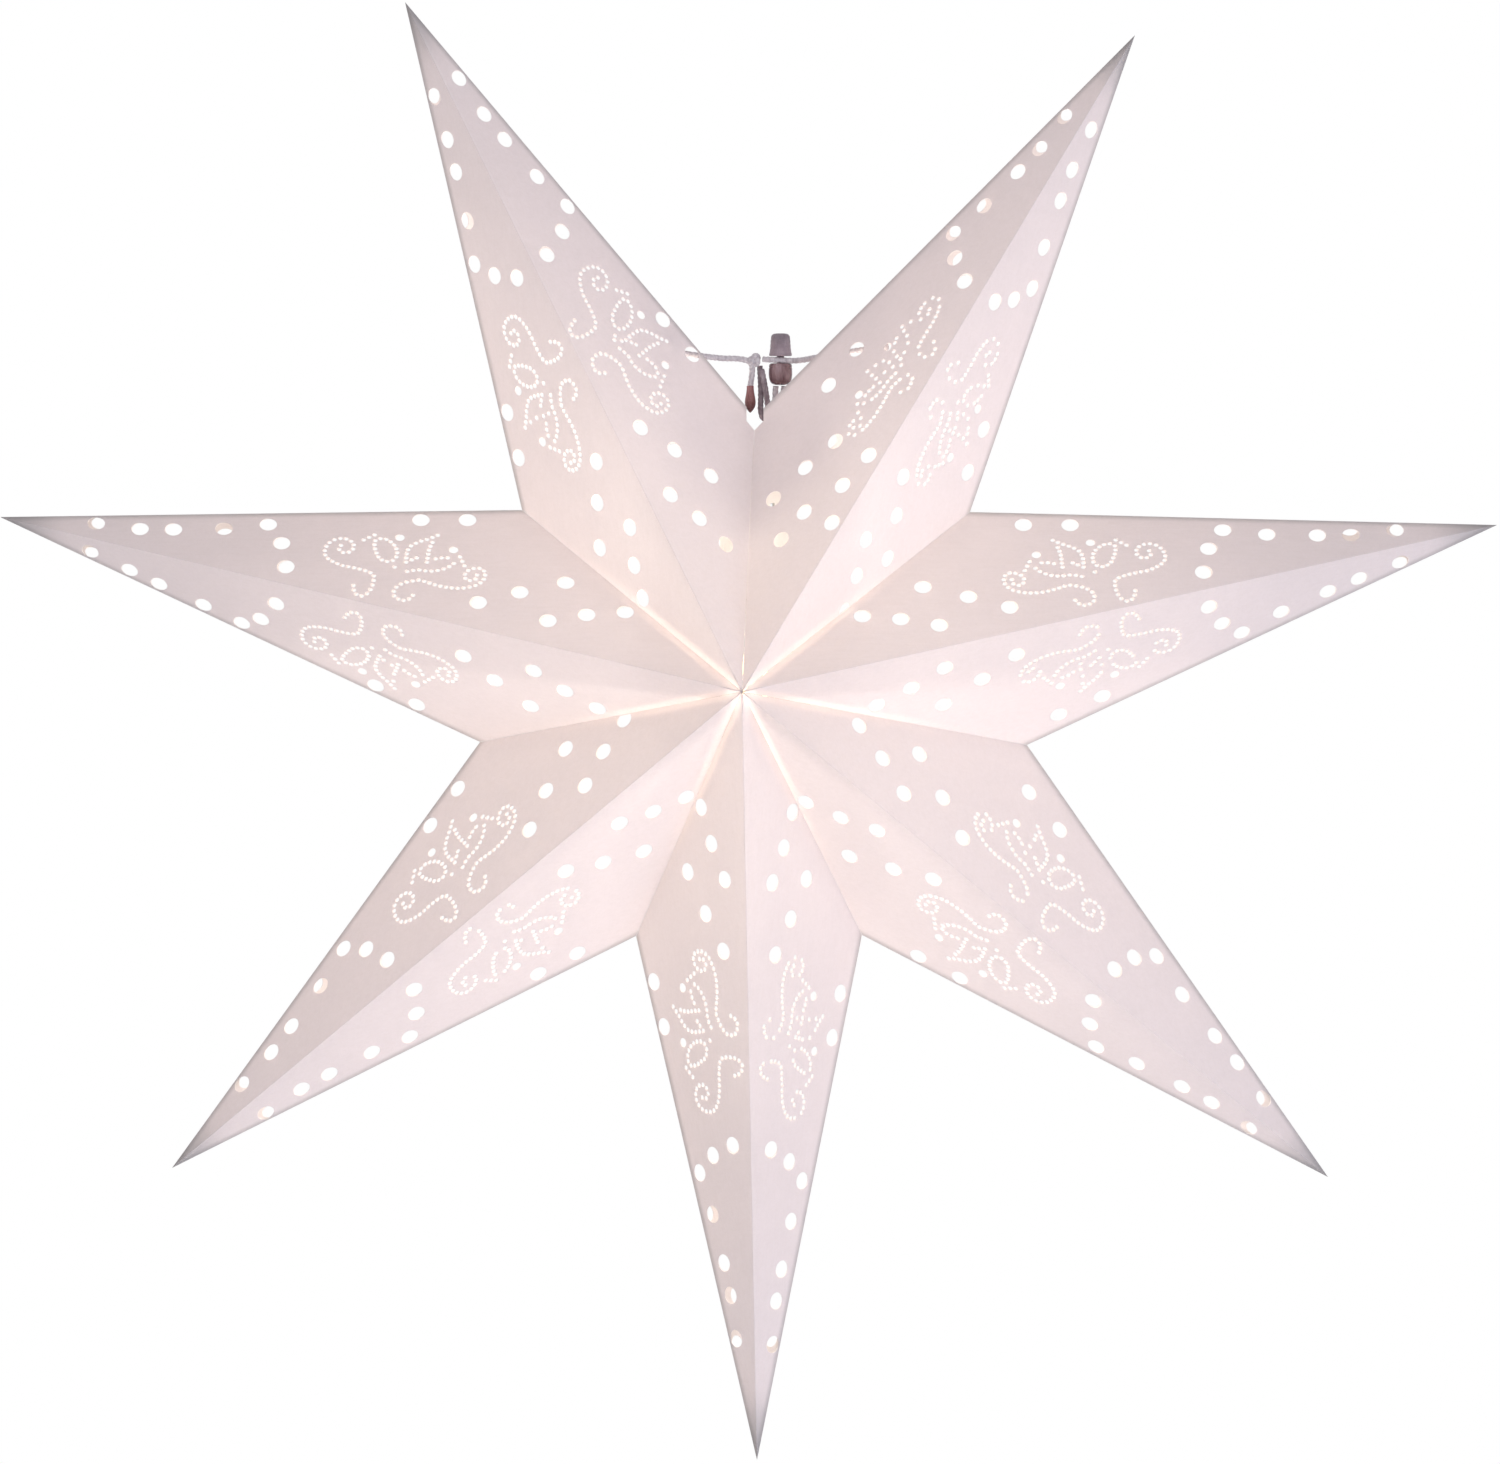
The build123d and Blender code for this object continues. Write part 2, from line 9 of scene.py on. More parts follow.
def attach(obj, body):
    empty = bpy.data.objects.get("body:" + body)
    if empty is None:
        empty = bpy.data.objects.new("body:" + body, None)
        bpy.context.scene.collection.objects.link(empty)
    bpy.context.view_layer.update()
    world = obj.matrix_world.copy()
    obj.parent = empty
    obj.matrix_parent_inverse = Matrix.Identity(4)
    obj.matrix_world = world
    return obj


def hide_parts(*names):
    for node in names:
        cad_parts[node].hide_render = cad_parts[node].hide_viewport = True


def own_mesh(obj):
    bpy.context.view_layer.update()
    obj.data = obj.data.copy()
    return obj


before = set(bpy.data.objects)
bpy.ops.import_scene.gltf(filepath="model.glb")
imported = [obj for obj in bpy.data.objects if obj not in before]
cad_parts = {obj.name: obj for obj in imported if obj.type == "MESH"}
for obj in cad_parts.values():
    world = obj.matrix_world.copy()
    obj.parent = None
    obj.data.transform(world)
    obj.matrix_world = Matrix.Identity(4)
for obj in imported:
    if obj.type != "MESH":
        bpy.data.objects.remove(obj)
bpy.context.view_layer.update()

# ---------------------------------------------------------------------------
# Pierced paper star lantern: looks.  All tables are in millimetres and turned
# into metres when a mesh is made.  P(x, y, h): h is the height above the
# star's fold axis, which is 99 mm below the cord entry.
# ---------------------------------------------------------------------------
MM = 0.001
STAR_Z = -99.0
AXIS_X = -5.2
HALF_DEPTH = 70.0
PAPER = 0.22
THROUGH = 0.42
SEAM_GAP = 0.05
FLAP = 6.0
HOLE_R = 3.5
EDGE_KEEP = 0.9
NOTCH_HALF = 3.4

POINTS = [
    ("point_top_left",    (-140.0,  276.0), "top_left"),
    ("point_top_right",   ( 152.0,  262.8), "top_right"),
    ("point_right",       ( 296.8,   66.8), "right"),
    ("point_lower_right", ( 229.2, -194.0), "lower_right"),
    ("point_bottom",      (   0.8, -307.2), "lamp"),
    ("point_lower_left",  (-233.2, -190.4), "lower_left"),
    ("point_left",        (-302.0,   70.0), "left"),
]
VALLEYS = [(0.0, 110.0), (86.0, 72.0), (108.8, -21.2), (42.8, -97.2),
           (-47.6, -97.6), (-110.0, -20.0), (-93.2, 72.8)]

# one panel on the flat: origin at the tip, x along the ridge fold, y square to it
TEMPLATE_APEX_X = 308.06
TEMPLATE_VALLEY = (196.4, 65.7)
TEMPLATE_HOLES = [
    (42.4, 10.0), (60.0, 12.2), (72.6, 15.8), (91.4, 22.0), (107.0, 29.4),
    (116.0, 21.2), (122.4, 10.0), (163.0, 49.8), (180.4, 55.4),
    (201.6, 14.4), (215.0, 24.4), (230.0, 35.0), (231.2, 13.6),
    (244.4, 21.2), (258.0, 27.4),
]
PUNCH_FIT = [
    ((0.996, -0.169, -5.62, -0.010, 1.040, -1.39), (1.004, 0.037, -4.85, 0.010, 0.951, -0.03)),
    ((0.994, 0.111, -1.55, 0.038, 0.859, -3.35), None),
    ((0.987, 0.150, -3.65, -0.017, 0.959, 2.12), (0.981, 0.083, -3.27, -0.008, 0.991, -0.51)),
    ((1.019, -0.038, -6.54, 0.002, 1.041, -3.09), (1.015, 0.178, -6.91, -0.024, 0.877, 4.76)),
    ((0.977, -0.020, 5.08, -0.018, 1.027, 1.92), (0.979, -0.073, 3.41, 0.005, 0.913, 0.96)),
    ((0.997, -0.006, -0.01, 0.000, 0.975, 0.65), (1.007, -0.121, 1.07, -0.010, 0.952, 1.06)),
    ((0.986, 0.086, -5.17, 0.002, 1.003, -1.92), (0.984, -0.054, -5.35, 0.001, 0.997, 1.83)),
]
SEAM_PANEL_HOLES = [
    (40.6, 10.0), (56.6, 11.6), (68.4, 15.0), (86.0, 20.6), (100.4, 27.0),
    (110.4, 19.6), (118.6, 9.4), (158.0, 38.6), (175.6, 41.4),
    (199.4, 6.0), (214.4, 9.4), (230.4, 4.6), (197.6, 23.6),
    (211.4, 30.0), (227.4, 36.0), (229.4, 19.0), (243.0, 22.0),
]
SEAM_PANEL_FIT = (0.99, 0.0, -3.5, 0.0, 0.62, 1.8)

# needle-pricked ornament: two scrolls, three petals, a few single lines
PRICKED = [
    [(151.5, 8.5), (153.5, 5.2), (156.8, 4.6), (158.6, 7.5), (158.4, 12), (157, 15.8), (154, 16.9),
     (149, 17.2), (143.5, 17), (138.5, 18), (135, 20), (133.5, 23.5), (134, 27.5), (136.5, 30.3),
     (140.5, 30.8), (143.5, 28.5), (143.8, 25.3), (141.5, 23.6), (138.9, 24.6), (138.7, 27)],
    [(175.8, 10.5), (174.5, 7.5), (171.5, 7), (168.5, 8.5), (167.8, 12), (169.5, 15), (172.5, 17.2),
     (175.5, 18.6), (179.5, 18.3), (184.5, 18), (190, 18.7), (194.5, 20.5), (198, 23.5), (199, 27.5),
     (197.2, 31), (194, 31.5), (191.3, 29), (191.2, 25.8), (193.5, 24.2), (195.8, 25.5), (195.6, 28)],
    [(155, 25.5), (152, 29.5), (150.5, 33.5), (153, 35.5), (157, 34.5), (160.3, 31.5), (161.8, 27.5),
     (160.5, 24.5), (157.5, 24.2), (155, 25.5)],
    [(161.8, 26), (163, 22.5), (164.8, 21)],
    [(166.5, 26), (165, 30.5), (164.8, 34.5), (167, 38), (170, 40.8), (172.6, 43.8)],
    [(172.6, 43.8), (172.2, 39.5), (172.4, 35.5), (173.5, 31.5), (174.3, 28.5)],
    [(166.2, 24), (167.5, 27), (170.5, 30), (173.5, 28.6)],
    [(168.8, 21.5), (172.5, 23.5), (177, 24.2), (181, 26.2), (183.8, 29.3), (184.5, 32.3),
     (181, 33.2), (177, 31.4), (174.8, 28.5), (173.2, 25)],
    [(189, 31.2), (185.5, 35.2)],
    [(146, 32.5), (149, 36.5)],
]
DOTS = [(159, 38), (181.6, 38)]
DOT_R = 1.9
PRICK_R = 1.0
PRICK_PITCH = 2.36

# back holes out of line with the front ones: where (x, h), and by how much
SLIPS = [
    (-127.2, 236.8, -2.3, 0.5), (-114.0, 190.8, -2.3, 0.5), (123.2, 230.8, 1.5, 1.6),
    (114.0, 216.8, 1.5, 1.6), (79.2, 184.0, 1.5, 1.6), (91.6, 194.0, -2.3, 0.5),
    (82.0, 172.0, 2.3, -0.4), (33.2, 100.0, -2.3, 0.5), (-172.0, -117.2, -2.3, 0.5),
    (-190.0, -137.2, 2.3, -0.4), (-204.8, -155.2, 1.5, 1.6), (-197.2, -168.0, 2.3, -0.4),
    (-264.8, 55.6, 0.4, -2.3), (-261.2, 67.6, 1.5, 1.6), (-209.2, 64.8, 0.4, -2.3),
    (236.0, 63.6, -0.5, 2.3), (252.0, 64.8, 1.5, 1.6), (257.2, 52.0, 0.4, -2.3),
    (196.0, -172.0, 2.3, -0.4), (204.0, -159.2, -2.3, 0.5), (-6.0, -261.2, 0.4, -2.3),
    (6.0, -263.2, -0.5, 2.3), (-16.8, -209.2, -2.3, 0.5), (-8.0, -242.4, 2.3, -0.4),
]


def P(x, y, h):
    return Vector((x, y, STAR_Z + h))


# ---- materials --------------------------------------------------------------
def material(name):
    m = bpy.data.materials.new(name)
    m.use_nodes = True
    nt = m.node_tree
    nt.nodes.clear()
    out = nt.nodes.new("ShaderNodeOutputMaterial")
    return m, nt, out


def node(nt, kind, **values):
    n = nt.nodes.new(kind)
    for k, v in values.items():
        setattr(n, k, v)
    return n


def principled(nt, base, rough, metallic=0.0, **more):
    p = nt.nodes.new("ShaderNodeBsdfPrincipled")
    if isinstance(base, tuple):
        p.inputs["Base Color"].default_value = (*base, 1)
    p.inputs["Roughness"].default_value = rough
    p.inputs["Metallic"].default_value = metallic
    for k, v in more.items():
        p.inputs[k].default_value = v
    return p


def noise(nt, coord, scale, detail=4.0, rough=0.55, distortion=0.0, stretch=None):
    source = coord
    if stretch is not None:
        mp = nt.nodes.new("ShaderNodeMapping")
        mp.inputs["Scale"].default_value = stretch
        nt.links.new(coord, mp.inputs["Vector"])
        source = mp.outputs["Vector"]
    n = nt.nodes.new("ShaderNodeTexNoise")
    n.inputs["Scale"].default_value = scale
    n.inputs["Detail"].default_value = detail
    n.inputs["Roughness"].default_value = rough
    n.inputs["Distortion"].default_value = distortion
    nt.links.new(source, n.inputs["Vector"])
    return n.outputs["Fac"]


def ramp(nt, fac, stops, mode="LINEAR"):
    r = nt.nodes.new("ShaderNodeValToRGB")
    r.color_ramp.interpolation = mode
    e = r.color_ramp.elements
    e[0].position, e[0].color = stops[0][0], (*stops[0][1], 1)
    e[1].position, e[1].color = stops[-1][0], (*stops[-1][1], 1)
    for pos, col in stops[1:-1]:
        x = e.new(pos)
        x.color = (*col, 1)
    nt.links.new(fac, r.inputs["Fac"])
    return r.outputs["Color"]


def remap(nt, value, a, b, c, d, smooth=False):
    m = nt.nodes.new("ShaderNodeMapRange")
    if smooth:
        m.interpolation_type = "SMOOTHSTEP"
    m.inputs["From Min"].default_value = a
    m.inputs["From Max"].default_value = b
    m.inputs["To Min"].default_value = c
    m.inputs["To Max"].default_value = d
    nt.links.new(value, m.inputs["Value"])
    return m.outputs["Result"]


def multiply(nt, a, b, fac=1.0):
    m = nt.nodes.new("ShaderNodeMix")
    m.data_type = "RGBA"
    m.blend_type = "MULTIPLY"
    m.inputs["Factor"].default_value = fac
    nt.links.new(a, m.inputs[6])
    nt.links.new(b, m.inputs[7])
    return m.outputs[2]


def bump(nt, height, strength, distance):
    b = nt.nodes.new("ShaderNodeBump")
    b.inputs["Strength"].default_value = strength
    b.inputs["Distance"].default_value = distance
    nt.links.new(height, b.inputs["Height"])
    return b.outputs["Normal"]


def objco(nt):
    return nt.nodes.new("ShaderNodeTexCoord").outputs["Object"]


def paper_material():
    m, nt, out = material("star_paper")
    co = objco(nt)
    # long soft fibres, three directions, and a fine tooth
    f1 = noise(nt, co, 900, 3, 0.6, 0.6, (1.0, 1.0, 0.12))
    f2 = noise(nt, co, 900, 3, 0.6, 0.6, (0.12, 1.0, 1.0))
    tooth = noise(nt, co, 2600, 3, 0.6)
    cloud = noise(nt, co, 34, 4, 0.6)
    add = node(nt, "ShaderNodeMath", operation="ADD")
    nt.links.new(f1, add.inputs[0])
    nt.links.new(f2, add.inputs[1])
    add2 = node(nt, "ShaderNodeMath", operation="ADD")
    nt.links.new(add.outputs[0], add2.inputs[0])
    nt.links.new(tooth, add2.inputs[1])
    fibre = remap(nt, add2.outputs[0], 1.0, 2.0, 0.0, 1.0)
    tint = ramp(nt, cloud, [(0.3, (0.898, 0.860, 0.870)), (0.7, (0.922, 0.882, 0.892))])
    grain = ramp(nt, fibre, [(0.2, (0.955, 0.955, 0.95)), (0.75, (1.0, 1.0, 1.0))])
    colour = multiply(nt, tint, grain)
    # crease and edge effects from the distances stored on the sheet, in mm. The edge effect is painted shade: the paper
    # is darker within 3 mm of the silhouette edge
    at = node(nt, "ShaderNodeAttribute", attribute_type="GEOMETRY", attribute_name="panel")
    sep = nt.nodes.new("ShaderNodeSeparateXYZ")
    nt.links.new(at.outputs["Vector"], sep.inputs[0])
    edge = ramp(nt, remap(nt, sep.outputs["Y"], 0.0, 3.0, 0.0, 1.0, True),
                [(0.0, (0.80, 0.805, 0.80)), (1.0, (1.0, 1.0, 1.0))])
    # painted shade: the narrow end of a point is a little greyer
    wide = node(nt, "ShaderNodeMath", operation="ADD")
    nt.links.new(sep.outputs["X"], wide.inputs[0])
    nt.links.new(sep.outputs["Y"], wide.inputs[1])
    tip = ramp(nt, remap(nt, wide.outputs[0], 1.0, 9.5, 0.0, 1.0, True),
               [(0.0, (0.78, 0.785, 0.785)), (1.0, (1.0, 1.0, 1.0))])
    edge = multiply(nt, edge, tip)
    # painted shade at the silhouette edges and the narrow ends darkens the paper colour
    colour = multiply(nt, colour, edge)
    p = principled(nt, None, 0.82)
    p.inputs["Specular IOR Level"].default_value = 0.25
    nt.links.new(colour, p.inputs["Base Color"])
    rough = remap(nt, fibre, 0.0, 1.0, 0.9, 0.74)
    nt.links.new(rough, p.inputs["Roughness"])
    normal = bump(nt, fibre, 0.25, 0.00006)
    nt.links.new(normal, p.inputs["Normal"])
    tr = nt.nodes.new("ShaderNodeBsdfTranslucent")
    warm = ramp(nt, fibre, [(0.15, (0.935, 0.885, 0.885)), (0.85, (0.965, 0.92, 0.925))])
    # the same painted shade darkens the light the paper lets through
    nt.links.new(multiply(nt, warm, edge), tr.inputs["Color"])
    nt.links.new(normal, tr.inputs["Normal"])
    mix = nt.nodes.new("ShaderNodeMixShader")
    # the seam crease lets more light through, most of all near the centre
    crease = remap(nt, sep.outputs["Z"], 0.2, 4.2, 1.0, 0.0, True)
    near = remap(nt, sep.outputs["X"], 16.0, 50.0, 0.27, 0.05, True)
    more = node(nt, "ShaderNodeMath", operation="MULTIPLY_ADD")
    nt.links.new(crease, more.inputs[0])
    nt.links.new(near, more.inputs[1])
    more.inputs[2].default_value = THROUGH
    nt.links.new(more.outputs[0], mix.inputs["Fac"])
    nt.links.new(p.outputs[0], mix.inputs[1])
    nt.links.new(tr.outputs[0], mix.inputs[2])
    nt.links.new(mix.outputs[0], out.inputs["Surface"])
    return m


PAPER_MAT = paper_material()


# ---- the folded paper points ---------------------------------------------------
def spline_points(points, pitch):
    """Evenly spaced points along a smooth line through the given ones."""
    pts = [np.array(p, float) for p in points]
    dense = []
    for i in range(len(pts) - 1):
        a = pts[i - 1] if i else pts[0] * 2 - pts[1]
        b, c = pts[i], pts[i + 1]
        d = pts[i + 2] if i + 2 < len(pts) else c * 2 - b
        for t in np.linspace(0, 1, 14, endpoint=False):
            dense.append(0.5 * (2 * b + (c - a) * t + (2 * a - 5 * b + 4 * c - d) * t * t
                                + (3 * b - a - 3 * c + d) * t ** 3))
    dense.append(pts[-1])
    dense = np.array(dense)
    step = np.linalg.norm(np.diff(dense, axis=0), axis=1)
    s = np.concatenate([[0], np.cumsum(step)])
    n = max(2, int(round(s[-1] / pitch)) + 1)
    want = np.linspace(0, s[-1], n)
    return np.stack([np.interp(want, s, dense[:, 0]), np.interp(want, s, dense[:, 1])], 1)


PRICKS = np.concatenate([spline_points(line, PRICK_PITCH) for line in PRICKED])


def to_panel(raw, apex_x, vx, vy):
    b = raw[1] / TEMPLATE_VALLEY[1]
    a = (raw[0] - b * TEMPLATE_VALLEY[0]) / TEMPLATE_APEX_X
    return a * apex_x + b * vx, b * vy


def panel_holes(index, side, apex_x, vx, vy):
    fit = PUNCH_FIT[index][side]
    raw = SEAM_PANEL_HOLES if fit is None else [
        (fit[0] * x + fit[1] * y + fit[2], fit[3] * x + fit[4] * y + fit[5])
        for x, y in TEMPLATE_HOLES]
    keep = HOLE_R + EDGE_KEEP
    edge = math.hypot(vx, vy)
    va = math.hypot(apex_x - vx, vy)
    out = []
    for n, (x, y) in enumerate(raw):
        px, py = to_panel((x, y), apex_x, vx, vy)
        py = max(py, keep)
        for _ in range(3):
            off = (px * vy - py * vx) / edge
            if off < keep:
                px += (keep - off) * vy / edge
                py -= (keep - off) * vx / edge
            inner = ((apex_x - px) * vy - py * (apex_x - vx)) / va
            last = n == len(TEMPLATE_HOLES) - 1 and fit is not None and index not in (0,)
            if not last and inner < keep:
                px -= (keep - inner) * vy / va
                py -= (keep - inner) * (apex_x - vx) / va
            py = max(py, keep)
        out.append((px, py))
    return out


def panel_pricks(index, side, apex_x, vx, vy, holes):
    """Centres and radii of the needle holes and dots of one panel, clear of
    each other, of the punched holes and of the folds."""
    fit = PUNCH_FIT[index][side] or SEAM_PANEL_FIT
    edge = math.hypot(vx, vy)
    va = math.hypot(apex_x - vx, vy)
    kept = []
    for r, pts in ((DOT_R, DOTS), (PRICK_R, PRICKS)):
        for x, y in pts:
            q = (fit[0] * x + fit[1] * y + fit[2], fit[3] * x + fit[4] * y + fit[5])
            px, py = to_panel(q, apex_x, vx, vy)
            off = (px * vy - py * vx) / edge
            inner = ((apex_x - px) * vy - py * (apex_x - vx)) / va
            if min(py, off, inner) < r + 0.7:
                continue
            if any(math.hypot(px - hx, py - hy) < HOLE_R + r + 0.4 for hx, hy in holes):
                continue
            if any(math.hypot(px - kx, py - ky) < r + kr + 0.16 for kx, ky, kr in kept):
                continue
            kept.append((px, py, r))
    return kept


def slipped(panel, holes):
    """Back holes that sit a little out of line with the front ones: paper shows in part of the hole."""
    m = np.array([[panel.xd[0], panel.yd[0]], [panel.xd[2], panel.yd[2]]])
    edge = math.hypot(panel.vx, panel.vy)
    va = math.hypot(panel.ax - panel.vx, panel.vy)
    keep = HOLE_R + 0.5
    out = list(holes)
    at = np.array([(panel.tip + panel.xd * x + panel.yd * y)[[0, 2]] for x, y in holes])
    for x, h, dx, dh in SLIPS:
        d = np.hypot(at[:, 0] - x, at[:, 1] - h)
        k = int(d.argmin())
        if d[k] > 5.5:
            continue
        px, py = np.linalg.solve(m, at[k] + (dx, dh) - panel.tip[[0, 2]])
        off = (px * panel.vy - py * panel.vx) / edge
        if off < keep:
            px += (keep - off) * panel.vy / edge
            py -= (keep - off) * panel.vx / edge
        inner = ((panel.ax - px) * panel.vy - py * (panel.ax - panel.vx)) / va
        if min(py, inner) < keep:
            continue
        out[k] = (px, py)
    return out


def unit(v):
    v = np.array(v, float)
    return v / np.linalg.norm(v)


class Panel:
    """One flat face of a point, with its glue margin folded inwards."""

    def __init__(self, index, side, sgn):
        self.index, self.side, self.sgn = index, side, sgn
        tx, th = POINTS[index][1]
        vx, vh = VALLEYS[index] if side == 0 else VALLEYS[index - 1]
        self.tip = np.array([tx, 0, th], float)
        self.valley = np.array([vx, 0, vh], float)
        self.axis = np.array([AXIS_X, 0, 0], float)
        self.apex = np.array([AXIS_X, sgn * HALF_DEPTH, 0], float)
        self.xd = unit(self.apex - self.tip)
        d = self.valley - self.tip
        self.vx = float(d @ self.xd)
        self.yd = unit(d - self.xd * self.vx)
        self.vy = float(d @ self.yd)
        self.ax = float(np.linalg.norm(self.apex - self.tip))
        n = np.cross(self.xd, self.yd)
        self.flip = float((self.axis - self.tip) @ n) > 0
        self.n = -n if self.flip else n
        self.open_seam = (index, side) in ((0, 0), (1, 1))
        # the valley plane and the way the margin is folded
        radial = self.valley - self.axis
        self.rv = float(np.linalg.norm(radial))
        radial = radial / self.rv
        into = np.cross([0, 1, 0], radial)
        if into @ (self.tip - self.axis) < 0:
            into = -into
        self.into = into
        self.slant = math.hypot(self.rv, HALF_DEPTH)
        # margin direction: square to the apex-valley edge, towards the axis mid point
        e = unit(self.valley - self.apex)
        f = self.axis - self.apex
        self.fd = unit(f - e * (f @ e))
        # 2D frame of the edge, from the apex
        self.a2 = np.array([self.ax, 0.0])
        self.v2 = np.array([self.vx, self.vy])
        self.e2 = unit(self.v2 - self.a2)
        w2 = np.array([self.e2[1], -self.e2[0]])
        if w2 @ (-self.a2) > 0:
            w2 = -w2
        self.w2 = w2
        self.len_av = float(np.linalg.norm(self.v2 - self.a2))

    def margin_outline(self):
        """The glue margin in the flat sheet, beyond the apex-valley edge."""
        s0 = 7.0 * self.slant / self.rv
        s1 = s0 + FLAP * HALF_DEPTH / self.rv
        k = self.rv / HALF_DEPTH
        e0 = self.len_av - 1.3
        e1 = self.len_av - 1.6 - FLAP * k
        return [self.a2 + self.e2 * s + self.w2 * w
                for s, w in ((s0, 0), (s1, FLAP), (e1, FLAP), (e0, 0))]

    def place(self, q, bow):
        """Flat sheet point to space, in mm."""
        w = float((q - self.a2) @ self.w2)
        if w > 2e-4:
            s = float((q - self.a2) @ self.e2)
            base = self.apex + unit(self.valley - self.apex) * s
            return base + self.fd * w + self.into * SEAM_GAP
        p = self.tip + self.xd * q[0] + self.yd * q[1]
        bv = q[1] / self.vy
        ba = (q[0] - bv * self.vx) / self.ax
        bt = 1 - ba - bv
        if abs(w) <= 2e-4:
            p = p + self.into * SEAM_GAP
        if bow and min(bv, ba, bt) > 0:
            amount = bow * 27 * bt * ba * bv
            p = p + self.n * amount
        return p


def circle(x, y, r, n, turn=0.0):
    a = np.arange(n) * (2 * math.pi / n) + turn
    return np.stack([x + r * np.cos(a), y + r * np.sin(a)], 1)


def build_panel(panel, bow):
    """Triangles of one sheet face in the flat and in space, with its distances
    to ridge, silhouette edge and valley."""
    verts, edges = [], []

    def add(points, close=True):
        first = len(verts)
        verts.extend([(float(x), float(y)) for x, y in points])
        n = len(points)
        for i in range(n - (0 if close else 1)):
            edges.append((first + i, first + (i + 1) % n))

    T, A, V = np.zeros(2), panel.a2, panel.v2
    corner = [V]
    if panel.open_seam:
        # the notch that lets the flex out at the open seam: |x| and |y| under NOTCH_HALF
        sx = math.copysign(NOTCH_HALF, panel.tip[0])
        sy = panel.sgn * NOTCH_HALF
        u = (sx - panel.valley[0]) / (panel.tip[0] - panel.valley[0])
        s1 = V + (T - V) * u
        s2 = V + (A - V) * (abs(sy) / HALF_DEPTH)
        m = np.array([[panel.xd[0], panel.yd[0]], [panel.xd[1], panel.yd[1]]])
        rhs = np.array([sx - panel.tip[0], sy - panel.tip[1]])
        q = np.linalg.solve(m, rhs)
        corner = [s1, q, s2]

    def line(a, b, step):
        n = max(2, int(round(np.linalg.norm(b - a) / step)))
        return [a + (b - a) * t for t in np.linspace(0, 1, n, endpoint=False)]

    if panel.open_seam:
        seam = line(A, corner[-1], 6.0)
    else:
        margin = panel.margin_outline()
        seam = [A] + line(margin[0], margin[3], 6.0) + [margin[3]]
    outline = line(T, A, 7.7) + seam
    outline += [corner[i] for i in range(len(corner) - 1, 0, -1)]
    outline += line(corner[0], T, 7.7)
    add(outline)
    flat = np.array(outline)
    if not panel.open_seam:
        add(margin, close=False)
        margin = np.array(margin)
    else:
        margin = None
    holes = panel_holes(panel.index, panel.side, panel.ax, panel.vx, panel.vy)
    if panel.sgn > 0:
        holes = slipped(panel, holes)
    pricks = panel_pricks(panel.index, panel.side, panel.ax, panel.vx, panel.vy, holes)
    discs = [(x, y, HOLE_R) for x, y in holes] + pricks
    for x, y, r in discs:
        n = 28 if r > 3 else 16 if r > 1.5 else 8
        add(circle(x, y, r, n, 0.3 + x))
    # inner points, so that the sheet can bow
    D = np.array(discs)
    grid = []
    step = 9.0
    edge = math.hypot(panel.vx, panel.vy)
    va = panel.len_av
    for j in range(1, int(panel.vy / step) + 2):
        for i in range(int(panel.ax / step) + 1):
            x, y = (i + 0.5 * (j % 2)) * step, j * step * 0.87
            off = (x * panel.vy - y * panel.vx) / edge
            inner = ((panel.ax - x) * panel.vy - y * (panel.ax - panel.vx)) / va
            if min(off, inner, y) < 2.5:
                continue
            if (np.hypot(D[:, 0] - x, D[:, 1] - y) < D[:, 2] + 1.2).any():
                continue
            grid.append((x, y))
    verts.extend(grid)
    vs, _, fs, _, _, _ = delaunay_2d_cdt([Vector(v) for v in verts], edges, [], 0, 1e-5, False)
    v2 = np.array([v[:] for v in vs])
    tri = np.array([f[:] for f in fs])
    c = v2[tri].mean(1)
    area = np.abs(np.cross(v2[tri[:, 1]] - v2[tri[:, 0]], v2[tri[:, 2]] - v2[tri[:, 0]]))

    def inside(poly):
        x, y = c[:, 0], c[:, 1]
        res = np.zeros(len(c), bool)
        for (x0, y0), (x1, y1) in zip(poly, np.roll(poly, -1, 0)):
            hit = (y0 > y) != (y1 > y)
            with np.errstate(divide="ignore", invalid="ignore"):
                res ^= hit & (x < (x1 - x0) * (y - y0) / (y1 - y0) + x0)
        return res

    keep = inside(flat)
    if margin is not None:
        keep |= inside(margin)
    d = np.hypot(c[:, None, 0] - D[None, :, 0], c[:, None, 1] - D[None, :, 1])
    # a triangle inside a polygon circle lies within its incircle or, near a side, within its radius
    for k, (x, y, r) in enumerate(discs):
        near = np.nonzero(keep & (d[:, k] < r))[0]
        if not len(near):
            continue
        n = 28 if r > 3 else 16 if r > 1.5 else 8
        poly = circle(x, y, r, n, 0.3 + x)
        for t in near:
            px, py = c[t]
            hit = False
            for (x0, y0), (x1, y1) in zip(poly, np.roll(poly, -1, 0)):
                if (y0 > py) != (y1 > py) and px < (x1 - x0) * (py - y0) / (y1 - y0) + x0:
                    hit = not hit
            if hit:
                keep[t] = False
    keep &= area > 2e-5
    tri = tri[keep]
    # same winding as the flat frame, then turned to face outwards
    cr = np.cross(v2[tri[:, 1]] - v2[tri[:, 0]], v2[tri[:, 2]] - v2[tri[:, 0]])
    tri[cr < 0] = tri[cr < 0][:, ::-1]
    if panel.flip:
        tri = tri[:, ::-1]
    used = np.unique(tri)
    renum = -np.ones(len(v2), int)
    renum[used] = np.arange(len(used))
    tri = renum[tri]
    v2 = v2[used]
    v3 = np.array([panel.place(q, bow) for q in v2])
    off = (v2[:, 0] * panel.vy - v2[:, 1] * panel.vx) / edge
    inner = ((panel.ax - v2[:, 0]) * panel.vy - v2[:, 1] * (panel.ax - panel.vx)) / va
    # an open seam has no crease to let light through
    dist = np.stack([v2[:, 1], off, inner + (20.0 if panel.open_seam else 0.0)], 1)
    c2 = v2[tri].mean(1)
    is_margin = ((c2 - panel.a2) @ panel.w2) > 1e-3
    return v3, tri, dist, is_margin


